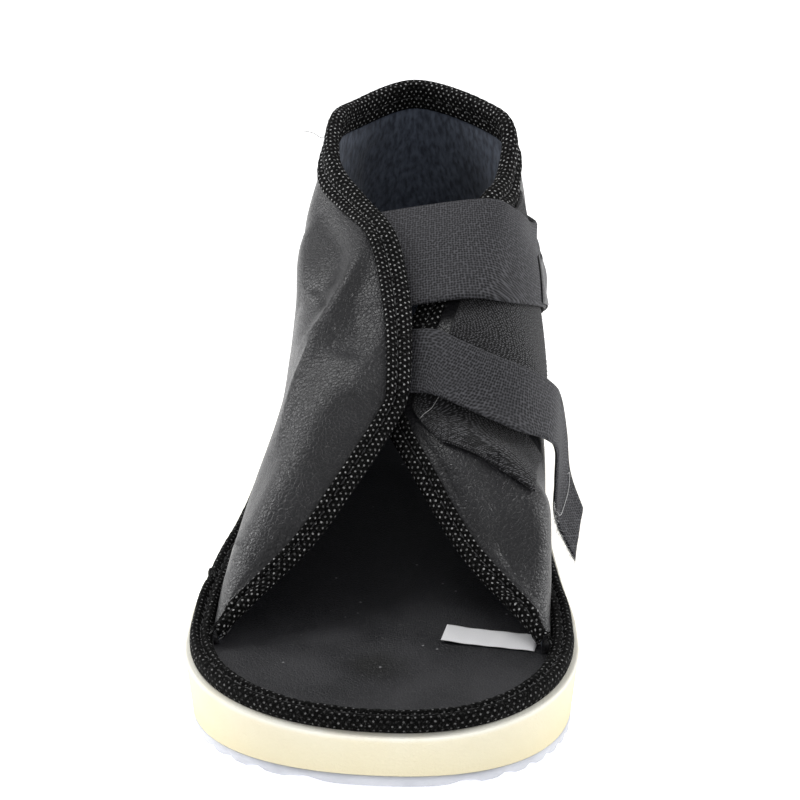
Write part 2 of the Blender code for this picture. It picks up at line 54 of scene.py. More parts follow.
tent = bpy.data.worlds.new("tent")
tent.use_nodes = True
tent.node_tree.nodes["Background"].inputs["Color"].default_value = (1.0, 1.0, 1.0, 1)
tent.node_tree.nodes["Background"].inputs["Strength"].default_value = 0.46
bpy.context.scene.world = tent
bpy.context.scene.view_settings.view_transform = "Standard"

LAMPS = (
    # name, place, aim, width, height, watts
    ("lamp_left", (-0.80, 0.22, 0.40), (0, 0.02, 0.07), 0.24, 0.90, 5.5),
    ("lamp_right", (0.80, 0.30, 0.38), (0, 0.02, 0.07), 0.22, 0.90, 4.5),
    ("lamp_top", (-0.35, 0.35, 0.95), (0, -0.02, 0.05), 0.35, 0.35, 2.6),
    ("lamp_front", (0.25, -1.20, 0.75), (0, -0.05, 0.03), 0.60, 0.40, 1.3),
)
for name, place, aim, width, height, watts in LAMPS:
    lamp = bpy.data.lights.new(name, "AREA")
    lamp.shape = "RECTANGLE"
    lamp.size = width
    lamp.size_y = height
    lamp.energy = watts
    stand = bpy.data.objects.new(name, lamp)
    bpy.context.scene.collection.objects.link(stand)
    away = np.array(place) - np.array(aim)
    stand.location = place
    stand.rotation_euler = (math.acos(away[2] / np.linalg.norm(away)), 0,
                            math.atan2(away[0], -away[1]))

paper_mesh = bpy.data.meshes.new("paper")
paper_mesh.from_pydata([(-3, -3, 0), (3, -3, 0), (3, 3, 0), (-3, 3, 0)], [], [(0, 1, 2, 3)])
paper = bpy.data.objects.new("paper", paper_mesh)
bpy.context.scene.collection.objects.link(paper)
paper_white = bpy.data.materials.new("paper_white")
paper_white.use_nodes = True
paper_shader = paper_white.node_tree.nodes["Principled BSDF"]
paper_shader.inputs["Base Color"].default_value = (0.95, 0.95, 0.95, 1)
paper_shader.inputs["Roughness"].default_value = 0.9
paper_shader.inputs["Specular IOR Level"].default_value = 0.1
paper_shader.inputs["Emission Color"].default_value = (1, 1, 1, 1)
paper_shader.inputs["Emission Strength"].default_value = 0.5
paper_mesh.materials.append(paper_white)

# Tread. A thin sheet of white rubber glued under the foam, with rounded ribs across it. It rises at the
# toe and a little at the heel, so its lower edge shows as a fine wave.
SOLE_LENGTH = 300 * MM
BALL_WIDTH = 118 * MM
HEEL_WIDTH = 87 * MM
TOE_PEAK = 6 * MM
TOE_SQUARENESS = 2.15
HEEL_SQUARENESS = 2.4
SOLE_HEIGHT = 24 * MM
SOLE_LEDGE = 1.5 * MM
SOLE_TAPER = 2 * MM
TREAD_THICKNESS = 3.6 * MM
TREAD_RIB_PITCH = 7 * MM
TREAD_RIB_DEPTH = 1.2 * MM
TOE_SPRING = 6 * MM
TOE_SPRING_START = 62 * MM
HEEL_LIFT = 3 * MM
HEEL_LIFT_START = 45 * MM
MIDDLE_FROM_TOE = 55 * MM
MIDDLE_FROM_HEEL = 42 * MM
GAP = 0.3 * MM
OUTLINE = np.array((
    # along, left, right: half-widths as shares of the way from heel width to ball width
    (0.190, 1.000, 1.000),
    (0.250, 0.981, 0.910),
    (0.300, 0.890, 0.742),
    (0.350, 0.781, 0.587),
    (0.400, 0.613, 0.452),
    (0.467, 0.439, 0.329),
    (0.550, 0.290, 0.213),
    (0.633, 0.161, 0.110),
    (0.717, 0.010, 0.030),
    (0.820, 0.000, 0.000),
))


def smooth(knots, values, at):
    """A smooth curve through the values, whose slope at each one follows its two neighbours."""
    knots = np.asarray(knots, dtype=float)
    values = np.asarray(values, dtype=float)
    at = np.asarray(at, dtype=float)
    step = np.diff(knots)
    chord = np.diff(values) / step
    slope = np.empty_like(values)
    slope[0] = chord[0]
    slope[-1] = chord[-1]
    slope[1:-1] = (chord[:-1] * step[1:] + chord[1:] * step[:-1]) / (step[:-1] + step[1:])
    i = np.clip(np.searchsorted(knots, at, side="right") - 1, 0, len(step) - 1)
    s = (at - knots[i]) / step[i]
    return (values[i] * (1 + 2 * s) * (1 - s) ** 2 + step[i] * slope[i] * s * (1 - s) ** 2
            + values[i + 1] * s ** 2 * (3 - 2 * s) - step[i] * slope[i + 1] * s ** 2 * (1 - s))


def half_width(along, column):
    share = smooth(OUTLINE[:, 0] * SOLE_LENGTH, OUTLINE[:, column], along)
    return (HEEL_WIDTH + share * (BALL_WIDTH - HEEL_WIDTH)) / 2


def rounded_end(half, depth, power):
    angle = np.linspace(0, math.pi / 2, 80)
    return half * np.sin(angle) ** (2 / power), depth * np.cos(angle) ** (2 / power)


def rim_outline(count):
    """The rim's outline from the toe's peak, by the left side and the heel, back to the peak."""
    ball = OUTLINE[0, 0] * SOLE_LENGTH
    heel = OUTLINE[-1, 0] * SOLE_LENGTH
    sides = np.linspace(ball, heel, 200)
    left = rounded_end(BALL_WIDTH / 2 + TOE_PEAK, ball - SOLE_LEDGE, TOE_SQUARENESS)
    right = rounded_end(BALL_WIDTH / 2 - TOE_PEAK, ball - SOLE_LEDGE, TOE_SQUARENESS)
    back = rounded_end(HEEL_WIDTH / 2, SOLE_LENGTH - SOLE_LEDGE - heel, HEEL_SQUARENESS)
    stretches = (
        (TOE_PEAK - left[0], ball - left[1]),
        (-half_width(sides, 1), sides),
        (-back[0][::-1], heel + back[1][::-1]),
        (back[0], heel + back[1]),
        (half_width(sides, 2)[::-1], sides[::-1]),
        (TOE_PEAK + right[0][::-1], ball - right[1][::-1]),
    )
    across = np.concatenate([s[0][:-1] for s in stretches])
    along = np.concatenate([s[1][:-1] for s in stretches])
    loop = np.column_stack((across, along - SOLE_LENGTH / 2))
    loop = np.vstack((loop, loop[:1]))
    length = np.concatenate(([0], np.cumsum(np.linalg.norm(np.diff(loop, axis=0), axis=1))))
    at = np.linspace(0, length[-1], count, endpoint=False)
    return np.column_stack([np.interp(at, length, loop[:, k]) for k in (0, 1)])


RIM_POINTS = 720
RIM_LINE = rim_outline(RIM_POINTS)
rim_ahead = np.roll(RIM_LINE, -3, axis=0) - np.roll(RIM_LINE, 3, axis=0)
RIM_OUT = np.column_stack((-rim_ahead[:, 1], rim_ahead[:, 0]))
RIM_OUT = RIM_OUT / np.linalg.norm(RIM_OUT, axis=1)[:, None]


def sole_line(inset):
    """The rim's outline moved in; a negative inset moves it out."""
    return RIM_LINE - inset * RIM_OUT


def sole_bottom(y):
    along = np.clip(y + SOLE_LENGTH / 2, 0, SOLE_LENGTH)
    toe = np.clip(1 - along / TOE_SPRING_START, 0, 1)
    heel = np.clip(1 - (SOLE_LENGTH - along) / HEEL_LIFT_START, 0, 1)
    return TOE_SPRING * toe ** 2 + HEEL_LIFT * heel ** 2


def towards_middle(line, share):
    """A sole line drawn in towards the sole's middle line, which it reaches at a share of 1."""
    ends = (MIDDLE_FROM_TOE - SOLE_LENGTH / 2, SOLE_LENGTH / 2 - MIDDLE_FROM_HEEL)
    middle = np.column_stack((np.zeros(len(line)), np.clip(line[:, 1], *ends)))
    return line + share * (middle - line)


def skinned(name, mesh, material, merge):
    """A mesh as a piece, with its faces turned outwards and, where asked, its doubles merged."""
    shape = bmesh.new()
    shape.from_mesh(mesh)
    if merge:
        bmesh.ops.remove_doubles(shape, verts=shape.verts, dist=1e-6)
    bmesh.ops.recalc_face_normals(shape, faces=shape.faces)
    shape.to_mesh(mesh)
    shape.free()
    mesh.shade_smooth()
    mesh.materials.append(material)
    piece = bpy.data.objects.new(name, mesh)
    bpy.context.scene.collection.objects.link(piece)
    return piece


def new_piece(name, points, faces, material):
    mesh = bpy.data.meshes.new(name)
    mesh.from_pydata(np.asarray(points).tolist(), [], faces)
    return skinned(name, mesh, material, True)


def stack(name, loops, material):
    """Closed loops joined in order; the first and last are closed by rungs across the middle line."""
    loops = [np.asarray(loop) for loop in loops]
    count = len(loops[0])
    faces = []
    for i in range(len(loops) - 1):
        for k in range(count):
            m = (k + 1) % count
            faces.append((i * count + k, i * count + m, (i + 1) * count + m, (i + 1) * count + k))
    for first in (0, (len(loops) - 1) * count):
        for k in range(count // 2):
            far = (count - k) % count
            faces.append((first + k, first + k + 1, first + count - k - 1, first + far))
    return new_piece(name, np.concatenate(loops), faces, material)


def finish(name, colour, roughness, **more):
    """A new material with its plain values set on the shader itself."""
    material = bpy.data.materials.new(name)
    material.use_nodes = True
    shader = material.node_tree.nodes["Principled BSDF"]
    shader.inputs["Base Color"].default_value = (*colour, 1)
    shader.inputs["Roughness"].default_value = roughness
    for socket, value in more.items():
        shader.inputs[socket.replace("_", " ")].default_value = value
    return material


def node(tree, kind, values=None, **settings):
    """A node with its settings; values are numbers, colours or the sockets that feed its inputs."""
    made = tree.nodes.new(kind)
    for key, value in settings.items():
        setattr(made, key, value)
    for key, value in (values or {}).items():
        if isinstance(value, bpy.types.NodeSocket):
            tree.links.new(value, made.inputs[key])
        else:
            made.inputs[key].default_value = value
    return made


def ramp(tree, value, stops):
    """A colour ramp from (position, grey or colour) stops."""
    made = node(tree, "ShaderNodeValToRGB", {"Fac": value})
    elements = made.color_ramp.elements
    while len(elements) < len(stops):
        elements.new(1)
    for element, (position, colour) in zip(elements, stops):
        element.position = position
        shade = (colour, colour, colour) if isinstance(colour, float) else colour
        element.color = (*shade, 1)
    return made.outputs["Color"]


def mixed(tree, factor, first, second):
    """Two colours mixed by a factor; each may be a colour or a socket."""
    made = node(tree, "ShaderNodeMix", {0: factor}, data_type="RGBA")
    for index, colour in ((6, first), (7, second)):
        if isinstance(colour, bpy.types.NodeSocket):
            tree.links.new(colour, made.inputs[index])
        else:
            made.inputs[index].default_value = (*colour, 1)
    return made.outputs[2]


def maths(tree, operation, first, second=0.0):
    return node(tree, "ShaderNodeMath", {0: first, 1: second}, operation=operation).outputs[0]


def noise(tree, place, scale, detail=2.0):
    made = node(tree, "ShaderNodeTexNoise", {"Vector": place, "Scale": scale, "Detail": detail})
    return made.outputs["Fac"]


def object_place(tree):
    return node(tree, "ShaderNodeTexCoord").outputs["Object"]


def feed(material, socket, value):
    shader = material.node_tree.nodes["Principled BSDF"]
    material.node_tree.links.new(value, shader.inputs[socket])


def bump(material, height, strength, distance):
    """Fine relief, its distance in metres."""
    relief = node(material.node_tree, "ShaderNodeBump", {
        "Height": height, "Strength": strength, "Distance": distance})
    feed(material, "Normal", relief.outputs["Normal"])


white_rubber = finish("white_rubber", (0.68, 0.70, 0.76), 0.45)
tree = white_rubber.node_tree
place = object_place(tree)
cloud = noise(tree, place, 90.0, 4.0)
feed(white_rubber, "Base Color", ramp(tree, cloud, (
    (0.30, (0.60, 0.62, 0.69)), (0.60, (0.72, 0.74, 0.81)))))
skin = noise(tree, place, 900.0)
bump(white_rubber, skin, 0.3, 0.0002)
feed(white_rubber, "Roughness", ramp(tree, cloud, ((0.3, 0.38), (0.7, 0.55))))


def rib_wave(y):
    """Depth of the groove beside each rib: flat lands with soft valleys between."""
    turn = np.cos(2 * math.pi * y / TREAD_RIB_PITCH)
    return TREAD_RIB_DEPTH * np.clip(0.42 - 0.75 * turn, 0, 1)


def tread_loop(inset, share, lift):
    """One loop of the tread: lift is None on the ribbed underside, else the height over it."""
    line = towards_middle(sole_line(inset), share)
    low = sole_bottom(line[:, 1])
    height = low + (rib_wave(line[:, 1]) if lift is None else lift)
    return np.column_stack((line, height))


tread_inset = SOLE_TAPER - SOLE_LEDGE
loops = [tread_loop(tread_inset + 0.6 * MM, share, None) for share in np.linspace(0.97, 0, 34)]
loops = loops + [tread_loop(tread_inset, 0, None) + (0, 0, 0.5 * MM)]
loops = loops + [tread_loop(tread_inset, 0, lift) for lift in (2.2 * MM, TREAD_THICKNESS)]
loops = loops + [tread_loop(tread_inset, share, TREAD_THICKNESS) for share in (0.3, 0.7, 0.97)]
tread = stack("tread", loops, white_rubber)
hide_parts("outsole")
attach(tread, "root")

# Foam slab. Cream EVA foam, cut with a knife, so its side is plain with fine cells and faint upright
# marks. A narrow ledge of it shows outside the rolled tape.
foam_side = finish("foam_side", (0.90, 0.84, 0.64), 0.75, Specular_IOR_Level=0.3)
tree = foam_side.node_tree
place = object_place(tree)
cells = node(tree, "ShaderNodeTexVoronoi", {"Vector": place, "Scale": 1500.0})
cloud = noise(tree, place, 45.0, 5.0)
drawn = node(tree, "ShaderNodeMapping", {"Vector": place, "Scale": (220.0, 220.0, 18.0)})
marks = noise(tree, drawn.outputs["Vector"], 1.0)
height = node(tree, "ShaderNodeSeparateXYZ", {"Vector": place}).outputs["Z"]
rise = node(tree, "ShaderNodeMapRange", {
    "Value": height, "From Min": 4 * MM, "From Max": SOLE_HEIGHT - MM}).outputs["Result"]
# Painted light: the side's colour is painted darker towards the tread and lighter towards the top, with a
# near-white band at the top edge, as painted shade low down and painted highlight along the top.
shade = ramp(tree, rise, ((0.0, (0.84, 0.75, 0.50)), (0.45, (0.89, 0.82, 0.60)),
                          (0.93, (0.91, 0.85, 0.66)), (1.0, (0.96, 0.94, 0.84))))
soil = ramp(tree, cloud, ((0.48, 0.0), (0.78, 0.4)))
feed(foam_side, "Base Color", mixed(tree, soil, shade, (0.86, 0.77, 0.53)))
bump(foam_side, maths(tree, "ADD", cells.outputs["Distance"], marks), 0.35, 0.0003)


def foam_loop(inset, share, height):
    line = towards_middle(sole_line(inset), share)
    return np.column_stack((line, np.full(len(line), height)))


def foam_side_loop(rise):
    """A loop of the foam's side, rise being a share of the way from its underside to its top."""
    inset = (SOLE_TAPER - SOLE_LEDGE) * (1 - rise) - SOLE_LEDGE * rise
    line = sole_line(inset)
    low = sole_bottom(line[:, 1]) + TREAD_THICKNESS + GAP
    return np.column_stack((line, low + rise * (SOLE_HEIGHT - low)))


underside = [towards_middle(sole_line(SOLE_TAPER - SOLE_LEDGE), share) for share in (0.97, 0.7, 0.3)]
loops = [np.column_stack((line, sole_bottom(line[:, 1]) + TREAD_THICKNESS + GAP)) for line in underside]
loops = loops + [foam_side_loop(rise) for rise in (0, 0.02, 0.2, 0.4, 0.6, 0.8, 0.95)]
loops = loops + [foam_loop(inset * MM - SOLE_LEDGE, 0, SOLE_HEIGHT - drop * MM)
                 for inset, drop in ((0, 0.6), (0.15, 0.25), (0.4, 0.05), (0.8, 0))]
loops = loops + [foam_loop(4 * MM, share, SOLE_HEIGHT) for share in (0, 0.3, 0.7, 0.97)]
foam = stack("foam_slab", loops, foam_side)
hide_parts("midsole")
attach(foam, "root")

# Footbed. A thin board covered in black leatherette with a fine grain. It is a little dished by use,
# dusty, and has a dark rubbed patch near the toe.
FOOTBED_THICKNESS = 2.3 * MM
RIM_WIDTH = 7 * MM
RIM_HEIGHT = 5 * MM
RIM_COVER = 2.5 * MM
FOOTBED_BOTTOM = SOLE_HEIGHT + GAP
FOOTBED_TOP = FOOTBED_BOTTOM + FOOTBED_THICKNESS
FEATHER_Z = FOOTBED_TOP + GAP

grain = bpy.data.node_groups.new("leather_grain", "ShaderNodeTree")
for name, kind, start in (("Place", "NodeSocketVector", None), ("Pebble Size", "NodeSocketFloat", 0.001),
                          ("Wander", "NodeSocketFloat", 0.0004)):
    socket = grain.interface.new_socket(name, in_out="INPUT", socket_type=kind)
    if start is not None:
        socket.default_value = start
for name in ("Height", "Cloud"):
    grain.interface.new_socket(name, in_out="OUTPUT", socket_type="NodeSocketFloat")
given = grain.nodes.new("NodeGroupInput").outputs
out = grain.nodes.new("NodeGroupOutput")
scale = maths(grain, "DIVIDE", 1.0, given["Pebble Size"])
coarse = maths(grain, "MULTIPLY", scale, 0.45)
drift = node(grain, "ShaderNodeTexNoise", {"Vector": given["Place"], "Scale": coarse, "Detail": 2.0})
shift = node(grain, "ShaderNodeVectorMath", {0: drift.outputs["Color"], 1: (0.5, 0.5, 0.5)},
             operation="SUBTRACT").outputs[0]
shift = node(grain, "ShaderNodeVectorMath", {0: shift, "Scale": given["Wander"]},
             operation="SCALE").outputs[0]
moved = node(grain, "ShaderNodeVectorMath", {0: given["Place"], 1: shift}, operation="ADD").outputs[0]
pebbles = node(grain, "ShaderNodeTexVoronoi", {"Vector": moved, "Scale": scale}, feature="DISTANCE_TO_EDGE")
dome = ramp(grain, pebbles.outputs["Distance"], ((0.0, 0.0), (0.07, 0.70), (0.35, 1.0)))
fine = maths(grain, "MULTIPLY", scale, 3.0)
pores = noise(grain, moved, fine)
pores = maths(grain, "MULTIPLY", pores, 0.35)
total = maths(grain, "ADD", dome, pores)
grain.links.new(total, out.inputs["Height"])
wide = maths(grain, "MULTIPLY", scale, 0.05)
cloud = noise(grain, given["Place"], wide, 4.0)
grain.links.new(cloud, out.inputs["Cloud"])


def use_group(tree, group, **values):
    """The group placed in a tree, its inputs set by name; returns its outputs."""
    made = tree.nodes.new("ShaderNodeGroup")
    made.node_tree = group
    for key, value in values.items():
        key = key.replace("_", " ")
        if isinstance(value, bpy.types.NodeSocket):
            tree.links.new(value, made.inputs[key])
        else:
            made.inputs[key].default_value = value
    return made.outputs


def specks(tree, place, size, share):
    """Small bright specks of dust: 1 on a speck and 0 elsewhere, on a share of the cells."""
    cells = node(tree, "ShaderNodeTexVoronoi", {"Vector": place, "Scale": 1 / size})
    dot = ramp(tree, cells.outputs["Distance"], ((0.05, 1.0), (0.12, 0.0)))
    pick = node(tree, "ShaderNodeSeparateColor", {"Color": cells.outputs["Color"]}).outputs["Red"]
    chosen = maths(tree, "LESS_THAN", pick, share)
    return maths(tree, "MULTIPLY", dot, chosen)


insole = finish("insole_leatherette", (0.016, 0.016, 0.018), 0.42, Specular_IOR_Level=0.45)
tree = insole.node_tree
place = object_place(tree)
pebble = use_group(tree, grain, Place=place, Pebble_Size=0.0011, Wander=0.0005)
worn = ramp(tree, pebble["Cloud"], ((0.35, (0.012, 0.012, 0.014)), (0.65, (0.024, 0.024, 0.027))))
RUBBED_SPOT = (-0.001, -0.113, 0.0266)
spot_at = node(tree, "ShaderNodeVectorMath", {0: place, 1: RUBBED_SPOT}, operation="DISTANCE")
spot = ramp(tree, spot_at.outputs["Value"], ((0.004, 1.0), (0.010, 0.0)))
colour = mixed(tree, spot, worn, (0.006, 0.006, 0.006))
dust = specks(tree, place, 0.0042, 0.16)
feed(insole, "Base Color", mixed(tree, dust, colour, (0.30, 0.30, 0.31)))
feed(insole, "Roughness", ramp(tree, pebble["Cloud"], ((0.3, 0.36), (0.7, 0.52))))
bump(insole, pebble["Height"], 0.55, 0.00022)


def footbed_loop(inset, share, height):
    """A loop of the footbed; it is dished by a third of a millimetre under the heel and the ball."""
    line = towards_middle(sole_line(inset), share)
    x, y = line.T
    under_heel = np.exp(-(x / 0.022) ** 2 - ((y - 0.10) / 0.03) ** 2)
    under_ball = np.exp(-(x / 0.03) ** 2 - ((y + 0.05) / 0.035) ** 2)
    wave = 0.08 * np.sin(140 * x + 3 * np.sin(60 * y)) * np.sin(95 * y)
    return np.column_stack((line, height + (wave - 0.3 * (under_heel + under_ball)) * MM))


bed_inset = RIM_COVER + GAP
loops = [np.column_stack((towards_middle(sole_line(bed_inset), share), np.full(RIM_POINTS, FOOTBED_BOTTOM)))
         for share in (0.97, 0.6, 0)]
loops = loops + [footbed_loop(bed_inset, 0, FOOTBED_TOP)]
loops = loops + [footbed_loop(RIM_WIDTH, share, FOOTBED_TOP) for share in np.linspace(0, 0.97, 24)]
bed = stack("footbed_cover", loops, insole)
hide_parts("footbed")
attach(bed, "root")

# Rolled tape round the footbed. Black non-woven tape with pale pin dots, folded over the board's edge
# and sewn through in a groove along its middle, so it stands up in two soft rolls.
tape_dots = bpy.data.node_groups.new("tape_dots", "ShaderNodeTree")
for name, kind in (("Strip", "NodeSocketVector"), ("Place", "NodeSocketVector")):
    tape_dots.interface.new_socket(name, in_out="INPUT", socket_type=kind)
for name, kind in (("Dots", "NodeSocketFloat"), ("Fibres", "NodeSocketFloat")):
    tape_dots.interface.new_socket(name, in_out="OUTPUT", socket_type=kind)
given = tape_dots.nodes.new("NodeGroupInput").outputs
out = tape_dots.nodes.new("NodeGroupOutput")
DOT_PITCH = 2.2 * MM
DOT_ROWS = 1.5 * MM

axes = node(tape_dots, "ShaderNodeSeparateXYZ", {"Vector": given["Strip"]}).outputs
row = maths(tape_dots, "DIVIDE", axes["Y"], DOT_ROWS)
row_number = maths(tape_dots, "FLOOR", row)
odd = maths(tape_dots, "MODULO", maths(tape_dots, "ABSOLUTE", row_number), 2.0)
step = maths(tape_dots, "DIVIDE", axes["X"], DOT_PITCH)
step = maths(tape_dots, "ADD", step, maths(tape_dots, "MULTIPLY", odd, 0.5))
wobble = noise(tape_dots, given["Place"], 350.0, 1.0)
step = maths(tape_dots, "ADD", step, maths(tape_dots, "MULTIPLY", wobble, 0.22))
off_x, off_y = (
    maths(tape_dots, "MULTIPLY", maths(tape_dots, "SUBTRACT", maths(tape_dots, "FRACT", at), 0.5), pitch / MM)
    for at, pitch in ((step, DOT_PITCH), (row, DOT_ROWS)))
reach = maths(tape_dots, "SQRT", maths(tape_dots, "ADD", maths(tape_dots, "MULTIPLY", off_x, off_x),
                                       maths(tape_dots, "MULTIPLY", off_y, off_y)))
dots = ramp(tape_dots, reach, ((0.22, 1.0), (0.44, 0.0)))
patchy = noise(tape_dots, given["Place"], 700.0)
bright = ramp(tape_dots, patchy, ((0.40, 0.12), (0.60, 1.0)))
tape_dots.links.new(maths(tape_dots, "MULTIPLY", dots, bright), out.inputs["Dots"])
fibres = noise(tape_dots, given["Place"], 1900.0, 3.0)
tape_dots.links.new(fibres, out.inputs["Fibres"])


def dotted_tape(name, dot_grey):
    """Black non-woven tape; dot_grey is how pale its pin dots are."""
    cloth = finish(name, (0.008, 0.008, 0.008), 0.9, Specular_IOR_Level=0.08)
    tree = cloth.node_tree
    strip = node(tree, "ShaderNodeUVMap", uv_map="strip").outputs["UV"]
    place = object_place(tree)
    tape = use_group(tree, tape_dots, Strip=strip, Place=place)
    ground = ramp(tree, tape["Fibres"], ((0.42, (0.001, 0.001, 0.001)), (0.60, (0.007, 0.007, 0.007)),
                                         (0.74, (0.05, 0.05, 0.05))))
    feed(cloth, "Base Color", mixed(tree, tape["Dots"], ground, (dot_grey, dot_grey, dot_grey)))
    dimple = maths(tree, "SUBTRACT", tape["Fibres"], maths(tree, "MULTIPLY", tape["Dots"], 0.9))
    bump(cloth, dimple, 0.9, 0.0004)
    return cloth


# Painted shade: this copy of the tape has its pin dots painted dimmer than the edge tape's (0.20 against
# 0.50), though it is the same tape.
rim_cloth = dotted_tape("rim_tape_cloth", 0.20)


def swept(name, sections, closed, material):
    """A skin over sections of equal count, with a strip map in metres: along the sweep, then across."""
    sections = np.asarray(sections)
    rows, count = sections.shape[:2]
    middle = sections.mean(axis=1)
    along = np.concatenate(([0], np.cumsum(np.linalg.norm(np.diff(middle, axis=0), axis=1))))
    ahead = np.roll(middle, -1, axis=0) - np.roll(middle, 1, axis=0)
    if not closed:
        ahead[0] = middle[1] - middle[0]
        ahead[-1] = middle[-1] - middle[-2]
    ahead = (ahead / np.linalg.norm(ahead, axis=1)[:, None])[:, None]
    forward = along[:, None] + np.sum((sections - middle[:, None]) * ahead, axis=2)
    ring = np.concatenate((sections, sections[:, :1]), axis=1)
    steps = np.diff(ring, axis=1)
    steps = np.linalg.norm(steps - ahead * np.sum(steps * ahead, axis=2)[:, :, None], axis=2)
    sideways = np.concatenate((np.zeros((rows, 1)), np.cumsum(steps, axis=1)), axis=1)
    forward = np.concatenate((forward, forward[:, :1]), axis=1)
    if closed:
        lap = along[-1] + np.linalg.norm(middle[0] - middle[-1])
        forward = np.concatenate((forward, forward[:1] + lap))
        sideways = np.concatenate((sideways, sideways[:1]))
    last = rows if closed else rows - 1
    faces = []
    strip = []
    for i in range(last):
        j = (i + 1) % rows
        for k in range(count):
            m = (k + 1) % count
            faces.append((i * count + k, i * count + m, j * count + m, j * count + k))
            strip.extend(((forward[i, k], sideways[i, k]), (forward[i, k + 1], sideways[i, k + 1]),
                          (forward[i + 1, k + 1], sideways[i + 1, k + 1]),
                          (forward[i + 1, k], sideways[i + 1, k])))
    if not closed:
        faces.append(tuple(range(count)))
        faces.append(tuple((rows - 1) * count + k for k in reversed(range(count))))
        strip.extend([(forward[0, k], sideways[0, k]) for k in range(count)])
        strip.extend([(forward[-1, k], sideways[-1, k]) for k in reversed(range(count))])
    mesh = bpy.data.meshes.new(name)
    mesh.from_pydata(sections.reshape(-1, 3).tolist(), [], faces)
    mesh.uv_layers.new(name="strip").data.foreach_set("uv", np.asarray(strip, dtype=float).ravel())
    return skinned(name, mesh, material, False)


RIM_SECTION = (
    # inset, height, share of the pucker between stitches
    (0.35, 0.00, 0.0), (0.05, 0.90, 0.2), (0.00, 2.20, 0.5), (0.15, 3.40, 0.8), (0.60, 4.35, 1.0),
    (1.30, 4.90, 1.0), (2.05, 5.00, 0.7), (2.75, 4.75, 0.3), (3.20, 4.20, 0.0), (3.45, 3.95, 0.0),
    (3.75, 4.25, 0.0), (4.30, 4.85, 0.4), (5.00, 5.05, 0.8), (5.80, 4.80, 1.0), (6.50, 4.20, 0.8),
    (6.90, 3.50, 0.4), (7.00, 2.70, 0.0), (4.80, 2.60, 0.0), (2.50, 2.60, 0.0), (2.50, 0.00, 0.0),
)
RIM_STITCH = 4.6 * MM
LAP_END = -65.5 * MM
LAP_START = -125 * MM
LAP_RUN_IN = 30 * MM
rim_lines = {inset: sole_line(inset * MM) for inset, _, _ in RIM_SECTION}
rim_length = np.linalg.norm(np.diff(np.vstack((RIM_LINE, RIM_LINE[:1])), axis=0), axis=1).sum()
rim_at = np.arange(RIM_POINTS) * rim_length / RIM_POINTS
rim_stitches = round(rim_length / RIM_STITCH)
pucker = np.cos(2 * math.pi * rim_at * rim_stitches / rim_length)
rumple = np.sin(rim_at * 2 * math.pi / 0.047) * 0.12 + np.sin(rim_at * 2 * math.pi / 0.019 + 1) * 0.08
rim_sections = []
for i in range(RIM_POINTS):
    x, y = RIM_LINE[i]
    lap = 0.8 * np.clip((y - LAP_START) / LAP_RUN_IN, 0, 1) if x < 0 and y < LAP_END else 0.0
    lift = (0.12 * pucker[i] + rumple[i] + lap) * MM
    rim_sections.append([(*rim_lines[inset][i], FOOTBED_BOTTOM + height * MM + share * (lift - 0.2 * MM))
                         for inset, height, share in RIM_SECTION])
rim = swept("rim_tape", rim_sections, True, rim_cloth)
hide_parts("rim_binding")
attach(rim, "root")

# Upper. One piece of padded black leatherette with a smooth lining, wrapped round the heel and lapped
# left over right. It is soft, so it carries the creases of being folded and packed: one long sharp fold
# runs down the left flap from the throat, with a hollow beside it, and the right flap is calmer.
FLAP_FRONT = 46.5 * MM
COLLAR_HEIGHT = 104 * MM
WALL = 2 * MM
TAPE_WIDTH = 8.5 * MM
TAPE_THICKNESS = 0.8 * MM
TAPE_CLEARANCE = 0.5 * MM
RIM_TOP = SOLE_HEIGHT + GAP + RIM_HEIGHT
RIBS = np.array((
    # foot, edge_x, edge_y, edge_z, lean, rise, reach, crown
    (0.000, -0.424, 0.158, 0.046, 0.00, 0.30, 0.30, -0.10),
    (0.023, -0.214, 0.233, 0.200, 0.02, 0.40, 0.34, 0.02),
    (0.048, -0.094, 0.290, 0.338, 0.02, 0.46, 0.38, 0.06),
    (0.077, 0.015, 0.365, 0.472, 0.03, 0.50, 0.42, 0.10),
    (0.105, 0.037, 0.393, 0.545, 0.05, 0.52, 0.44, 0.13),
    (0.134, 0.035, 0.455, 0.646, 0.06, 0.52, 0.42, 0.10),
    (0.172, 0.016, 0.514, 0.727, 0.06, 0.52, 0.40, 0.07),
    (0.220, -0.030, 0.583, 0.818, 0.03, 0.52, 0.35, 0.02),
    (0.267, -0.122, 0.650, 0.857, 0.01, 0.48, 0.28, -0.07),
    (0.315, -0.215, 0.710, 0.917, 0.01, 0.42, 0.17, -0.21),
    (0.363, -0.228, 0.783, 0.975, 0.01, 0.36, 0.06, -0.32),
    (0.430, -0.170, 0.855, 0.970, -0.01, 0.34, 0.03, -0.34),
    (0.500, 0.000, 0.905, 0.992, -0.03, 0.33, 0.02, -0.34),
    (0.570, 0.210, 0.855, 0.972, -0.02, 0.34, 0.04, -0.34),
    (0.637, 0.292, 0.793, 0.940, -0.05, 0.36, 0.09, -0.32),
    (0.685, 0.272, 0.727, 0.858, -0.08, 0.42, 0.18, -0.20),
    (0.733, 0.218, 0.673, 0.832, -0.15, 0.46, 0.32, -0.06),
    (0.780, 0.152, 0.610, 0.770, -0.19, 0.48, 0.43, -0.03),
    (0.828, 0.089, 0.547, 0.690, -0.20, 0.50, 0.50, 0.00),
    (0.866, 0.023, 0.480, 0.575, -0.22, 0.50, 0.52, 0.02),
    (0.895, -0.053, 0.425, 0.455, -0.21, 0.50, 0.52, 0.05),
    (0.920, -0.012, 0.385, 0.410, -0.20, 0.50, 0.50, 0.07),
    (0.943, 0.068, 0.330, 0.330, -0.16, 0.48, 0.46, 0.06),
    (0.966, 0.194, 0.257, 0.189, -0.09, 0.44, 0.38, 0.04),
    (1.000, 0.428, 0.158, 0.046, 0.00, 0.30, 0.30, -0.10),
))

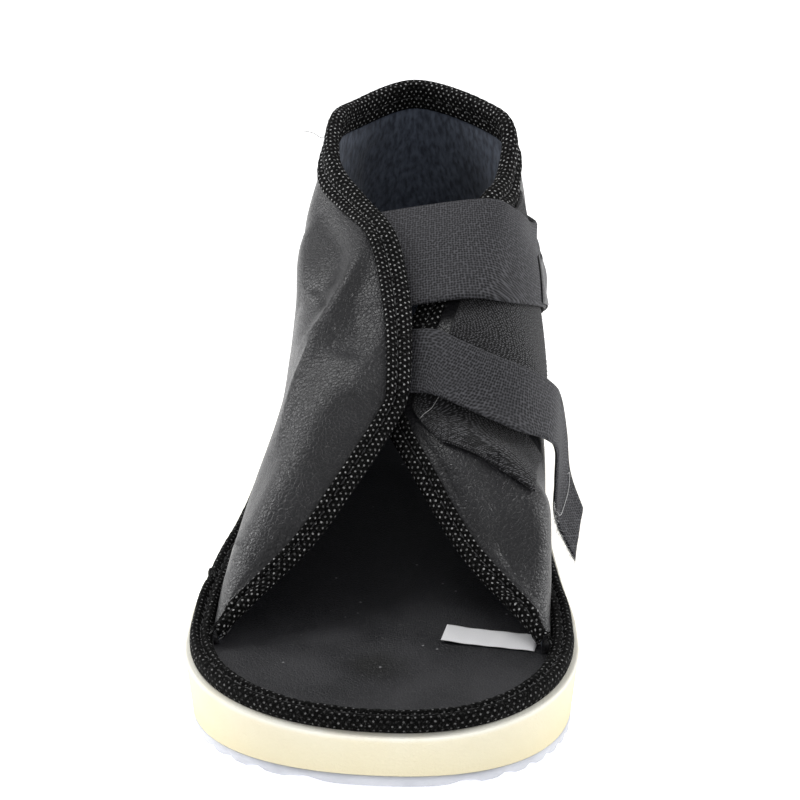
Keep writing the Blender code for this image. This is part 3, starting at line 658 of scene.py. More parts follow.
feather = sole_line(RIM_WIDTH + GAP)
behind = np.flatnonzero(feather[:, 1] >= FLAP_FRONT - SOLE_LENGTH / 2)
feather = feather[behind[0]:behind[-1] + 1]
FEATHER_SHARE = np.concatenate(([0], np.cumsum(np.linalg.norm(np.diff(feather, axis=0), axis=1))))
FEATHER_SHARE = FEATHER_SHARE / FEATHER_SHARE[-1]
ahead = np.roll(feather, -3, axis=0) - np.roll(feather, 3, axis=0)
feather_out = np.column_stack((-ahead[:, 1], ahead[:, 0]))
feather_out = feather_out / np.linalg.norm(feather_out, axis=1)[:, None]
feather_out[:3] = feather_out[3]
feather_out[-3:] = feather_out[-4]
FOOT_STEPS = 1201
UP_STEPS = 201


def build_face():
    """The outer face as a grid: foot runs round the feather line, up from the footbed to the edge."""
    foot = np.linspace(0, 1, FOOT_STEPS)
    edge_x, edge_y, edge_z, lean, rise, reach, crown = [
        smooth(RIBS[:, 0], RIBS[:, k], foot) for k in range(1, 8)]
    flat_low = [np.interp(foot, FEATHER_SHARE, feather[:, k]) for k in (0, 1)]
    low = np.column_stack(flat_low + [np.full_like(foot, FEATHER_Z)])
    out = [np.interp(foot, FEATHER_SHARE, feather_out[:, k]) for k in (0, 1)]
    out = np.column_stack(out + [np.zeros_like(foot)])
    high = np.column_stack((edge_x * BALL_WIDTH, (edge_y - 0.5) * SOLE_LENGTH,
                            FOOTBED_TOP + edge_z * COLLAR_HEIGHT))
    span = low - high
    chord = np.linalg.norm(span, axis=1)[:, None]
    flat = span * (1, 1, 0)
    flat = flat / np.maximum(np.linalg.norm(flat, axis=1), 1e-6)[:, None]
    up = np.array((0, 0, 1))
    low_handle = low + chord * (rise[:, None] * up - lean[:, None] * out)
    high_handle = high + chord * (reach[:, None] * flat + crown[:, None] * up)
    t = np.linspace(0, 1, 41)[None, :, None]
    ribs = ((1 - t) ** 3 * low[:, None] + 3 * t * (1 - t) ** 2 * low_handle[:, None]
            + 3 * t ** 2 * (1 - t) * high_handle[:, None] + t ** 3 * high[:, None])
    steps = np.linalg.norm(np.diff(ribs, axis=1), axis=2)
    lengths = np.concatenate((np.zeros((FOOT_STEPS, 1)), np.cumsum(steps, axis=1)), axis=1)
    share = np.linspace(0, 1, UP_STEPS)
    face = np.empty((FOOT_STEPS, UP_STEPS, 3))
    over_rim = np.empty(FOOT_STEPS)
    for i in range(FOOT_STEPS):
        for k in range(3):
            face[i, :, k] = np.interp(share, lengths[i] / lengths[i, -1], ribs[i, :, k])
        over_rim[i] = np.interp(RIM_TOP + 2 * GAP, ribs[i, :20, 2], lengths[i, :20] / lengths[i, -1])
    return face, lengths[:, -1], over_rim


FACE, RIB_LENGTH, OVER_RIM = build_face()
FACE_OUT = np.cross(np.gradient(FACE, axis=1), np.gradient(FACE, axis=0))
FACE_OUT = FACE_OUT / np.linalg.norm(FACE_OUT, axis=2)[:, :, None]
edge_ahead = np.gradient(FACE[:, -1], axis=0)
edge_ahead = edge_ahead / np.linalg.norm(edge_ahead, axis=1)[:, None]
edge_rise = FACE[:, -1] - FACE[:, -9]
edge_rise = edge_rise / np.linalg.norm(edge_rise, axis=1)[:, None]
edge_past = edge_rise - edge_ahead * np.sum(edge_rise * edge_ahead, axis=1)[:, None]
squareness = np.linalg.norm(edge_past, axis=1)
EDGE_PAST = edge_past / squareness[:, None]
TAPE_SHARE = np.minimum(TAPE_WIDTH / (RIB_LENGTH * squareness), 1 - OVER_RIM)


def on_grid(grid, foot, up):
    """Values of a grid over the outer face at shares round the feather line and up the rib."""
    foot, up = np.broadcast_arrays(np.asarray(foot, dtype=float), np.asarray(up, dtype=float))
    a = np.clip(foot, 0, 1) * (FOOT_STEPS - 1)
    b = np.clip(up, 0, 1) * (UP_STEPS - 1)
    i = np.minimum(a.astype(int), FOOT_STEPS - 2)
    j = np.minimum(b.astype(int), UP_STEPS - 2)
    s = (a - i)[..., None]
    t = (b - j)[..., None]
    return ((1 - s) * (1 - t) * grid[i, j] + s * (1 - t) * grid[i + 1, j]
            + (1 - s) * t * grid[i, j + 1] + s * t * grid[i + 1, j + 1])


FOLDS = (
    # height and half-width in mm, crest sharpness in mm, then points as (foot, up)
    (3.3, 5.2, 0.6, ((0.234, 0.965), (0.220, 0.917), (0.196, 0.853), (0.180, 0.800), (0.165, 0.734),
                     (0.147, 0.665), (0.128, 0.590), (0.112, 0.545), (0.095, 0.48))),
    (-1.6, 6.0, 2.5, ((0.202, 0.930), (0.186, 0.890), (0.168, 0.840), (0.152, 0.775), (0.134, 0.700),
                      (0.116, 0.630))),
    (-2.4, 8.0, 3.0, ((0.262, 0.92), (0.236, 0.845), (0.214, 0.775), (0.198, 0.710), (0.188, 0.635),
                      (0.178, 0.568))),
    (1.5, 4.0, 1.0, ((0.160, 0.715), (0.158, 0.670), (0.165, 0.610), (0.176, 0.550))),
    (-3.0, 8.0, 4.0, ((0.156, 0.90), (0.143, 0.862), (0.131, 0.815), (0.122, 0.775))),
    (1.2, 4.0, 1.5, ((0.136, 0.945), (0.124, 0.90), (0.112, 0.865), (0.100, 0.830), (0.085, 0.79))),
    (3.5, 9.0, 3.0, ((0.290, 0.80), (0.268, 0.735), (0.240, 0.675), (0.218, 0.62))),
    (-2.3, 6.0, 2.0, ((0.300, 0.93), (0.275, 0.86), (0.245, 0.82), (0.215, 0.77), (0.195, 0.735))),
    (-1.0, 2.0, 0.4, ((0.222, 0.655), (0.205, 0.685), (0.190, 0.701), (0.172, 0.742))),
    (0.9, 1.6, 0.4, ((0.228, 0.64), (0.210, 0.668), (0.196, 0.686))),
    (2.0, 9.0, 5.0, ((0.090, 0.78), (0.068, 0.70), (0.046, 0.62), (0.024, 0.52))),
    (-1.7, 6.0, 3.0, ((0.084, 0.90), (0.066, 0.87), (0.046, 0.88), (0.028, 0.86))),
    (-2.0, 8.0, 4.0, ((0.110, 0.60), (0.090, 0.50), (0.070, 0.38), (0.055, 0.25))),
    (2.2, 9.0, 4.0, ((0.918, 0.86), (0.935, 0.82), (0.950, 0.76), (0.966, 0.70))),
    (-3.2, 7.0, 3.5, ((0.925, 0.64), (0.942, 0.58), (0.958, 0.54), (0.975, 0.52))),
    (2.0, 6.0, 3.0, ((0.900, 0.30), (0.925, 0.33), (0.950, 0.34))),
    (-2.6, 9.0, 4.0, ((0.400, 0.80), (0.420, 0.60), (0.430, 0.40), (0.425, 0.22))),
    (1.9, 8.0, 4.0, ((0.450, 0.84), (0.462, 0.62), (0.470, 0.38))),
    (-2.2, 9.0, 4.0, ((0.600, 0.82), (0.585, 0.60), (0.580, 0.36), (0.590, 0.20))),
    (-2.0, 8.0, 4.0, ((0.330, 0.70), (0.300, 0.52), (0.280, 0.34), (0.270, 0.20))),
    (1.7, 8.0, 3.0, ((0.350, 0.50), (0.320, 0.38), (0.300, 0.24))),
    (-1.9, 8.0, 4.0, ((0.690, 0.42), (0.720, 0.32), (0.760, 0.24), (0.800, 0.20))),
    (1.4, 7.0, 3.0, ((0.640, 0.30), (0.680, 0.22), (0.730, 0.16))),
    (-1.7, 6.0, 2.0, ((0.480, 0.30), (0.510, 0.27), (0.545, 0.30))),
    (-1.4, 5.0, 2.0, ((0.465, 0.16), (0.505, 0.14), (0.550, 0.17))),
)


def fold_height(points, foot, up):
    """How far the creases lift the leather at each point; they die out at the tape and at the sole."""
    lift = np.zeros(len(points))
    for height, width, crest, line in FOLDS:
        knots = np.linspace(0, 1, len(line))
        fine = np.linspace(0, 1, 40)
        line = np.array(line)
        at = on_grid(FACE, smooth(knots, line[:, 0], fine), smooth(knots, line[:, 1], fine))
        apart = np.linalg.norm(points[:, None] - at[None], axis=2)
        near = apart.argmin(axis=1)
        apart = apart[np.arange(len(points)), near] / MM
        end = np.sin(math.pi * np.clip(fine[near], 0.02, 0.98)) ** 0.6
        shape = np.exp(-((np.sqrt(apart ** 2 + crest ** 2) - crest) / width * 1.3) ** 1.25)
        lift = lift + height * MM * end * shape
    tape = 1 - TAPE_SHARE[np.clip(foot * (FOOT_STEPS - 1), 0, FOOT_STEPS - 1).astype(int)]
    fade_high = np.clip((tape - up) / 0.09, 0, 1)
    fade_low = np.clip((up - 0.03) / 0.12, 0, 1)
    return lift * fade_high ** 0.8 * fade_low * (3 - 2 * fade_low)


def hand(points, foot, up):
    """Slow unevenness of hand-closed leather, under half a millimetre."""
    x, y, z = (points / 0.021).T
    swell = np.sin(1.3 * x + 2.1 * z + 1) * np.sin(0.9 * y + 0.7 * z) + 0.6 * np.sin(2.3 * y - 1.7 * z + 2)
    return 0.10 * MM * swell


def even_stations(count):
    dense = np.linspace(0, 1, FOOT_STEPS)
    steps = [np.linalg.norm(np.diff(FACE[:, j], axis=0), axis=1) for j in (0, -1)]
    length = np.concatenate(([0], np.cumsum(steps[0] + 2 * steps[1])))
    return np.interp(np.linspace(0, length[-1], count), length, dense)


SHELL_STATIONS = 380
TAPE_STATIONS = 2 * SHELL_STATIONS
STATIONS = even_stations(SHELL_STATIONS)
heights = np.concatenate((np.linspace(0, 0.9, 96, endpoint=False), np.linspace(0.9, 1, 18)))
foot_grid, up_grid = np.meshgrid(STATIONS, heights, indexing="ij")
outer = on_grid(FACE, foot_grid, up_grid)
facing = on_grid(FACE_OUT, foot_grid, up_grid)
flat_foot = foot_grid.ravel()
flat_up = up_grid.ravel()
lift = fold_height(outer.reshape(-1, 3), flat_foot, flat_up)
calm = np.clip(flat_up / 0.1, 0, 1) * np.clip((1 - flat_up) / 0.15, 0, 1)
lift = (lift + calm * hand(outer.reshape(-1, 3), flat_foot, flat_up)).reshape(foot_grid.shape)[:, :, None]
outside = outer + facing * lift
inside = outer + facing * (np.minimum(lift, 0.6 * MM) - WALL)
sections = np.concatenate((outside, inside[:, ::-1]), axis=1)

leather = finish("black_leatherette", (0.018, 0.018, 0.020), 0.38, Specular_IOR_Level=0.5)
tree = leather.node_tree
place = object_place(tree)
pebble = use_group(tree, grain, Place=place, Pebble_Size=0.00125, Wander=0.0006)
pulled = node(tree, "ShaderNodeMapping", {"Vector": place, "Scale": (1.0, 1.0, 0.55),
                                          "Rotation": (0.5, 0.3, 0.6)})
cracks = use_group(tree, grain, Place=pulled.outputs["Vector"], Pebble_Size=0.0021, Wander=0.0007)
patches = ramp(tree, pebble["Cloud"], ((0.42, 0.10), (0.62, 0.75)))
creased = maths(tree, "MULTIPLY", cracks["Height"], patches)
relief = maths(tree, "ADD", maths(tree, "MULTIPLY", pebble["Height"], 0.7), creased)
bump(leather, relief, 0.85, 0.00028)
cloudy = ramp(tree, pebble["Cloud"], ((0.35, (0.012, 0.012, 0.014)), (0.68, (0.018, 0.018, 0.021))))
# Painted shade: the base colour is darkened in the low cracks between the pebbles.
painted_crack_shade = ramp(tree, pebble["Height"], ((0.15, 0.9), (0.75, 0.0)))
feed(leather, "Base Color", mixed(tree, painted_crack_shade, cloudy, (0.004, 0.004, 0.005)))
feed(leather, "Roughness", ramp(tree, pebble["Cloud"], ((0.35, 0.34), (0.65, 0.39))))

lining = finish("brushed_lining", (0.035, 0.045, 0.065), 0.8, Specular_IOR_Level=0.3, Sheen_Weight=0.3)
tree = lining.node_tree
place = object_place(tree)
brushed = node(tree, "ShaderNodeMapping", {"Vector": place, "Scale": (700.0, 700.0, 260.0)})
nap = noise(tree, brushed.outputs["Vector"], 1.0, 4.0)
feed(lining, "Base Color", ramp(tree, nap, (
    (0.35, (0.045, 0.055, 0.080)), (0.65, (0.14, 0.165, 0.22)))))
bump(lining, nap, 0.6, 0.0004)

shell = swept("upper_shell", sections, False, leather)
shell.data.materials.append(lining)
row = len(heights)
ring = 2 * row
sides = np.tile(np.arange(ring) >= row - 1, len(STATIONS) - 1).astype(int)
shell.data.polygons.foreach_set("material_index", np.concatenate((sides, [0, 0])).astype(np.int32))
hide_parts("upper")
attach(shell, "root")

# Edge tape. The same dotted tape, folded over the whole free edge of the upper, front, throat and
# collar, and sewn through along its middle, so each face shows two soft rolls with a groove between.
EDGE_SECTION = (
    # share of the tape's width, millimetres past the edge, height in mm over the outer face
    (1.00, 0.0, 0.75), (0.97, 0.0, 1.20), (0.88, 0.0, 1.60), (0.78, 0.0, 1.70), (0.67, 0.0, 1.45),
    (0.58, 0.0, 0.90), (0.52, 0.0, 0.60), (0.46, 0.0, 0.90), (0.37, 0.0, 1.50), (0.24, 0.0, 1.85),
    (0.10, 0.2, 1.75), (0.00, 0.6, 1.25), (0.00, 1.15, 0.40), (0.00, 1.35, -1.00), (0.00, 1.15, -2.40),
    (0.00, 0.6, -3.10), (0.12, 0.0, -3.35), (0.35, 0.0, -3.30), (0.52, 0.0, -2.90), (0.70, 0.0, -3.25),
    (0.90, 0.0, -3.20), (1.00, 0.0, -2.80), (1.00, 0.0, -2.45), (0.50, 0.0, -2.45), (0.02, -0.2, -2.45),
    (0.02, -0.2, 0.45), (0.50, 0.0, 0.45), (1.00, 0.0, 0.45),
)
TAPE_NARROWING = np.array((
    # foot, share of the full width: the front edges roll in below the throat
    (0.00, 0.66), (0.03, 0.68), (0.09, 0.74), (0.15, 1.00),
    (0.85, 1.00), (0.91, 0.74), (0.97, 0.68), (1.00, 0.66),
))
EDGE_STITCH = 4.2 * MM
# This copy keeps the paler pin dots (0.50); the rim's copy of the same tape is painted dimmer as shade.
edge_cloth = dotted_tape("edge_tape_cloth", 0.50)
edge_foot = even_stations(TAPE_STATIONS)
dense_foot = np.linspace(0, 1, FOOT_STEPS)
tape_share = np.interp(edge_foot, dense_foot, TAPE_SHARE) * np.interp(edge_foot, *TAPE_NARROWING.T)
edge_line = on_grid(FACE, edge_foot, 1.0)
edge_at = np.concatenate(([0], np.cumsum(np.linalg.norm(np.diff(edge_line, axis=0), axis=1))))
past = np.column_stack([np.interp(edge_foot, dense_foot, EDGE_PAST[:, k]) for k in range(3)])
stitch_wave = np.cos(2 * math.pi * edge_at / EDGE_STITCH)
slow_wave = 0.12 * np.sin(edge_at / 0.0061) + 0.10 * np.sin(edge_at / 0.0027 + 1)
columns = []
for share, beyond, height in EDGE_SECTION:
    up = 1 - share * tape_share
    swell = 0.0 if abs(height) < 0.5 or abs(share - 0.52) < 0.03 else 0.16
    side = 1 if height > -1 else -1
    tall = height + side * swell * (0.5 * stitch_wave + slow_wave * 1.2)
    out_at = on_grid(FACE_OUT, edge_foot, up)
    columns.append(on_grid(FACE, edge_foot, up) + out_at * tall[:, None] * MM + past * beyond * MM)
edge_tape = swept("edge_tape", np.stack(columns, axis=1), False, edge_cloth)
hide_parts("edge_binding")
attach(edge_tape, "root")


# Loop patches. Two pieces of black loop tape sewn flat on the right flap: a wide panel behind, and a
# narrower strip in front under the low strap. Their pile is woven in slanting rows and frays at the rim.
PATCH_THICKNESS = 1.1 * MM
PATCH_ROWS = 110
PATCH_COLUMNS = 70
LOOP_PANEL = (
    # foot, low, high
    (0.668, 0.560, 0.885),
    (0.705, 0.500, 0.885),
    (0.750, 0.450, 0.880),
    (0.800, 0.400, 0.872),
    (0.838, 0.420, 0.862),
    (0.858, 0.500, 0.852),
)
LOOP_TAPE = (
    # foot, low, high
    (0.880, 0.350, 0.840),
    (0.895, 0.360, 0.850),
    (0.908, 0.375, 0.848),
    (0.918, 0.388, 0.830),
    (0.926, 0.394, 0.790),
)


def over_leather(foot, up, lift):
    """Points at a height over the creased leather."""
    shape = np.shape(foot)
    flat = np.ravel(foot)
    flat_up = np.ravel(up)
    base = on_grid(FACE, flat, flat_up)
    rise = fold_height(base, flat, flat_up) + np.broadcast_to(np.ravel(lift), flat.shape)
    return (base + on_grid(FACE_OUT, flat, flat_up) * rise[:, None]).reshape(*shape, 3)


def band(name, grid, thickness, roundness, material):
    """A flat band laid over a grid of points: a rounded rim all round, open nowhere."""
    along = np.gradient(grid, axis=0)
    across = np.gradient(grid, axis=1)
    out = np.cross(across, along)
    out = out / np.linalg.norm(out, axis=2)[:, :, None]
    rows, count = grid.shape[:2]
    step_long = np.linalg.norm(np.diff(grid, axis=0), axis=2).mean()
    step_wide = np.linalg.norm(np.diff(grid, axis=1), axis=2).mean()
    to_end = np.minimum(np.arange(rows), np.arange(rows)[::-1]) * step_long
    to_side = np.minimum(np.arange(count), np.arange(count)[::-1]) * step_wide
    near = np.clip(np.minimum(to_end[:, None], to_side[None, :]) / roundness, 0, 1)
    rim = np.sqrt(1 - (1 - near) ** 2) * 0.45 + 0.55
    top = grid + out * (thickness * rim)[:, :, None]
    under = grid + out * (thickness * (1 - rim))[:, :, None]
    return swept(name, np.concatenate((top, under[:, ::-1]), axis=1), False, material)


loop_cloth = finish("loop_pile", (0.016, 0.016, 0.018), 0.9, Specular_IOR_Level=0.25, Sheen_Weight=0.15)
tree = loop_cloth.node_tree
strip = node(tree, "ShaderNodeUVMap", uv_map="strip").outputs["UV"]
place = object_place(tree)
slant = node(tree, "ShaderNodeMapping", {"Vector": strip, "Rotation": (0.0, 0.0, 0.62),
                                         "Scale": (1500.0, 1000.0, 1.0)})
tufts = node(tree, "ShaderNodeTexVoronoi", {
    "Vector": slant.outputs["Vector"], "Scale": 1.0, "Randomness": 0.5}, voronoi_dimensions="2D")
wisps = noise(tree, place, 2600.0)
pile = maths(tree, "SUBTRACT", maths(tree, "ADD", 0.55, maths(tree, "MULTIPLY", wisps, 0.5)),
             tufts.outputs["Distance"])
feed(loop_cloth, "Base Color", ramp(tree, pile, (
    (0.34, (0.001, 0.001, 0.002)), (0.50, (0.007, 0.007, 0.009)), (0.70, (0.14, 0.14, 0.15)))))
bump(loop_cloth, pile, 0.9, 0.0005)


def patch_grid(table, height):
    """A grid of points over a patch's outline, at a height over the creased leather."""
    table = np.array(table)
    foot = np.linspace(table[0, 0], table[-1, 0], PATCH_ROWS)
    low = smooth(table[:, 0], table[:, 1], foot)[:, None]
    high = smooth(table[:, 0], table[:, 2], foot)[:, None]
    up = low + np.linspace(0, 1, PATCH_COLUMNS)[None, :] * (high - low)
    return over_leather(np.broadcast_to(foot[:, None], up.shape), up, height)


for name, node_name, table in (("panel_pile", "loop_panel", LOOP_PANEL),
                               ("tape_pile", "loop_tape", LOOP_TAPE)):
    patch = band(name, patch_grid(table, 2 * GAP), PATCH_THICKNESS, 0.8 * MM, loop_cloth)
    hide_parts(node_name)
    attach(patch, "root")

# Straps. Dark grey hook-and-loop webbing, sewn under the edge of the left flap. The wide one goes round
# the ankle. The narrow one crosses the instep, and its free end comes off the pile and hangs.
STRAP_THICKNESS = 1.4 * MM
STRAP_TOP_WIDTH = 49 * MM
STRAP_LOW_WIDTH = 25 * MM
STRAP_TOP = (
    # back_foot, back_up, back_loose, front_foot, front_up, front_loose, layer
    (0.265, 0.910, -0.01, 0.162, 0.910, -0.01, -1),
    (0.265, 0.970, -0.02, 0.160, 0.970, -0.02, -1),
    (0.738, 0.990, 0.03, 0.838, 0.825, 0.03, 1),
    (0.708, 0.900, 0.00, 0.817, 0.700, 0.00, 1),
    (0.675, 0.810, 0.00, 0.782, 0.620, 0.00, 1),
    (0.645, 0.720, 0.00, 0.745, 0.540, 0.00, 1),
    (0.610, 0.630, 0.01, 0.708, 0.470, 0.01, 1),
    (0.585, 0.560, 0.05, 0.680, 0.420, 0.05, 1),
)
STRAP_LOW = (
    # back_foot, back_up, back_loose, front_foot, front_up, front_loose, layer
    (0.142, 0.930, -0.03, 0.106, 0.930, -0.03, -1),
    (0.140, 0.980, -0.05, 0.104, 0.980, -0.05, -1),
    (0.863, 0.880, 0.11, 0.890, 0.800, 0.11, 1),
    (0.863, 0.780, 0.12, 0.893, 0.690, 0.12, 1),
    (0.862, 0.680, 0.12, 0.895, 0.590, 0.12, 1),
    (0.854, 0.570, 0.11, 0.889, 0.490, 0.11, 1),
    (0.836, 0.480, 0.10, 0.876, 0.410, 0.09, 1),
    (0.820, 0.400, 0.11, 0.862, 0.340, 0.05, 1),
    (0.818, 0.290, 0.18, 0.861, 0.230, 0.03, 1),
    (0.826, 0.190, 0.29, 0.872, 0.120, 0.09, 1),
    (0.844, 0.110, 0.54, 0.890, 0.040, 0.42, 1),
)


def strap_grid(table, width, columns, steps_each):
    """The strap's underside as a grid: it follows the flaps at its layer's height, with free stretches."""
    tucked = -(WALL + TAPE_CLEARANCE + TAPE_THICKNESS + 3 * GAP + STRAP_THICKNESS)
    over = PATCH_THICKNESS + 4 * GAP
    sections = []
    for back_foot, back_up, back_loose, front_foot, front_up, front_loose, layer in table:
        lift = over if layer > 0 else tucked
        ends = ((back_foot, back_up, back_loose), (front_foot, front_up, front_loose))
        back, front = (on_grid(FACE, foot, up) + on_grid(FACE_OUT, foot, up) * (lift + loose * width)
                       for foot, up, loose in ends)
        reach = width / np.linalg.norm(front - back)
        across = 0.5 + (np.linspace(0, 1, columns) - 0.5) * reach
        foot = back_foot + across * (front_foot - back_foot)
        up = back_up + across * (front_up - back_up)
        loose = back_loose + across * (front_loose - back_loose)
        out = on_grid(FACE_OUT, foot, up)
        sections.append(on_grid(FACE, foot, up) + out * (lift + loose * width)[:, None])
    sections = np.array(sections)
    steps = np.linspace(0, len(table) - 1, steps_each * (len(table) - 1) + 1)
    knots = np.arange(len(table))
    return np.stack([np.column_stack([smooth(knots, sections[:, j, k], steps) for k in range(3)])
                     for j in range(columns)], axis=1)


webbing = finish("strap_webbing", (0.05, 0.05, 0.055), 0.72, Specular_IOR_Level=0.35)
tree = webbing.node_tree
strip = node(tree, "ShaderNodeUVMap", uv_map="strip").outputs["UV"]
place = object_place(tree)
counted = node(tree, "ShaderNodeMapping", {"Vector": strip, "Scale": (1 / (0.90 * MM), 1 / (1.10 * MM), 1.0)})
knit = node(tree, "ShaderNodeTexVoronoi", {
    "Vector": counted.outputs["Vector"], "Scale": 1.0, "Randomness": 0.4}, voronoi_dimensions="2D")
lint = noise(tree, place, 2600.0)
slow = noise(tree, place, 120.0)
yarn = maths(tree, "ADD", knit.outputs["Distance"], maths(tree, "MULTIPLY", lint, 0.45))
shade = ramp(tree, yarn, (
    (0.36, (0.001, 0.001, 0.002)), (0.58, (0.024, 0.024, 0.028)), (0.85, (0.085, 0.085, 0.095))))
feed(webbing, "Base Color", mixed(tree, ramp(tree, slow, ((0.45, 0.0), (0.75, 0.3))), shade,
                                 (0.035, 0.035, 0.040)))
bump(webbing, yarn, 0.7, 0.00030)

top_grid = strap_grid(STRAP_TOP, STRAP_TOP_WIDTH, 44, 14)
low_grid = strap_grid(STRAP_LOW, STRAP_LOW_WIDTH, 30, 14)
for name, node_name, grid in (("ankle_strap", "strap_top", top_grid),
                              ("instep_strap", "strap_low", low_grid)):
    strap = band(name, grid, STRAP_THICKNESS, 0.7 * MM, webbing)
    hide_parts(node_name)
    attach(strap, "root")

# Label. A small white woven tab, sewn in at the right flap's front corner and lying on the footbed with
# its free end a little lifted. It is bare.
LABEL_LENGTH = 29 * MM
LABEL_WIDTH = 10 * MM
LABEL_THICKNESS = 0.4 * MM
LABEL_INSET = 1.2 * MM
LABEL_BACK = 8 * MM
LABEL_TURN = math.radians(-9)
LABEL_TUCK = 0.9 * MM
corner_x, corner_y = feather[-1]
label_x = corner_x - TAPE_THICKNESS - WALL - LABEL_INSET + LABEL_TUCK - LABEL_LENGTH / 2
label_y = corner_y + LABEL_BACK
reach = np.linspace(-0.5, 0.5, 40)[:, None] * LABEL_LENGTH + np.zeros((1, 16))
wide = np.linspace(0.5, -0.5, 16)[None, :] * LABEL_WIDTH + np.zeros((40, 1))
curl = 0.6 * MM * np.clip(-reach / LABEL_LENGTH - 0.1, 0, 1) ** 2 * 6 + 0.12 * MM * np.sin(reach * 420) ** 2
label_grid = np.stack((
    label_x + reach * math.cos(LABEL_TURN) - wide * math.sin(LABEL_TURN),
    label_y + reach * math.sin(LABEL_TURN) + wide * math.cos(LABEL_TURN),
    FOOTBED_TOP + GAP + curl), axis=2)
white_tab = finish("white_tab", (0.86, 0.86, 0.87), 0.65)
tree = white_tab.node_tree
strip = node(tree, "ShaderNodeUVMap", uv_map="strip").outputs["UV"]
axes = node(tree, "ShaderNodeSeparateXYZ", {"Vector": strip}).outputs
THREAD_TURN = 2 * math.pi / (0.35 * MM)
ribs = maths(tree, "MULTIPLY", maths(tree, "SINE", maths(tree, "MULTIPLY", axes["X"], THREAD_TURN)),
             maths(tree, "SINE", maths(tree, "MULTIPLY", axes["Y"], THREAD_TURN)))
feed(white_tab, "Base Color", ramp(tree, ribs, ((0.0, (0.80, 0.80, 0.82)), (0.6, (0.90, 0.90, 0.90)))))
bump(white_tab, ribs, 0.25, 0.0001)
label = band("white_label", label_grid, LABEL_THICKNESS * 0.8, 0.3 * MM, white_tab)
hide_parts("label")
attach(label, "root")

# Hook tab and hem. A lighter tab of hook tape is sewn on the ankle strap's free end. The wide loop panel
# has a plain grey hem along its front edge.
tab_grey = finish("tab_grey", (0.10, 0.10, 0.105), 0.6)
tree = tab_grey.node_tree
place = object_place(tree)
weave = noise(tree, place, 1700.0)
feed(tab_grey, "Base Color", ramp(tree, weave, ((0.35, (0.06, 0.06, 0.063)), (0.65, (0.15, 0.15, 0.155)))))
bump(tab_grey, weave, 0.4, 0.0002)


def standing_off(grid, height):
    """The same grid moved out by a height."""
    out = np.cross(np.gradient(grid, axis=1), np.gradient(grid, axis=0))
    out = out / np.linalg.norm(out, axis=2)[:, :, None]
    return grid + out * height


tab_grid = standing_off(top_grid[58:, 17:43], STRAP_THICKNESS + 0.05 * MM)
tab = band("hook_tab", tab_grid, 0.9 * MM, 0.5 * MM, tab_grey)
hem_up = np.linspace(0.46, 0.856, 60)[None, :] + np.zeros((8, 1))
hem_foot = np.linspace(0.8585, 0.8690, 8)[:, None] + 0.0 * hem_up
hem = band("panel_hem", over_leather(hem_foot, hem_up, 2 * GAP), 0.9 * MM, 0.4 * MM, tab_grey)
for piece, finish_slot in ((tab, "webbing"), (hem, "loop")):
    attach(piece, "root")

# Stitches. Black polyester lockstitch: along the groove of both tapes and round both loop patches, one
# short raised stitch after another.
stitching = bpy.data.node_groups.new("stitching", "GeometryNodeTree")
stitching.is_modifier = True
stitching.interface.new_socket("Seam", in_out="INPUT", socket_type="NodeSocketGeometry")
for name, start in (("Pitch", 0.004), ("Length", 0.003), ("Thread", 0.0005)):
    stitching.interface.new_socket(name, in_out="INPUT", socket_type="NodeSocketFloat").default_value = start
stitching.interface.new_socket("Finish", in_out="INPUT", socket_type="NodeSocketMaterial")
stitching.interface.new_socket("Stitches", in_out="OUTPUT", socket_type="NodeSocketGeometry")
given = stitching.nodes.new("NodeGroupInput").outputs
out = stitching.nodes.new("NodeGroupOutput")
seam = node(stitching, "GeometryNodeMeshToCurve", {"Mesh": given["Seam"]}).outputs["Curve"]
holes = node(stitching, "GeometryNodeCurveToPoints", {"Curve": seam, "Length": given["Pitch"]}, mode="LENGTH")
bead = node(stitching, "GeometryNodeMeshIcoSphere", {"Radius": 0.5, "Subdivisions": 2}).outputs["Mesh"]
size = node(stitching, "ShaderNodeCombineXYZ", {
    "X": given["Thread"], "Y": given["Thread"], "Z": given["Length"]}).outputs["Vector"]
turned = node(stitching, "FunctionNodeAlignRotationToVector", {"Vector": holes.outputs["Tangent"]}, axis="Z")
laid = node(stitching, "GeometryNodeInstanceOnPoints", {
    "Points": holes.outputs["Points"], "Instance": bead, "Rotation": turned.outputs["Rotation"],
    "Scale": size})
made = node(stitching, "GeometryNodeRealizeInstances", {"Geometry": laid.outputs["Instances"]}).outputs[0]
coloured = node(stitching, "GeometryNodeSetMaterial", {"Geometry": made, "Material": given["Finish"]})
stitching.links.new(coloured.outputs["Geometry"], out.inputs["Stitches"])

thread_black = finish("black_thread", (0.012, 0.012, 0.013), 0.45)
tree = thread_black.node_tree
place = object_place(tree)
ply = node(tree, "ShaderNodeTexWave", {"Vector": place, "Scale": 900.0, "Distortion": 2.0}).outputs["Fac"]
feed(thread_black, "Base Color", ramp(tree, ply, (
    (0.2, (0.006, 0.006, 0.007)), (0.8, (0.035, 0.035, 0.038)))))
bump(thread_black, ply, 0.4, 0.0001)


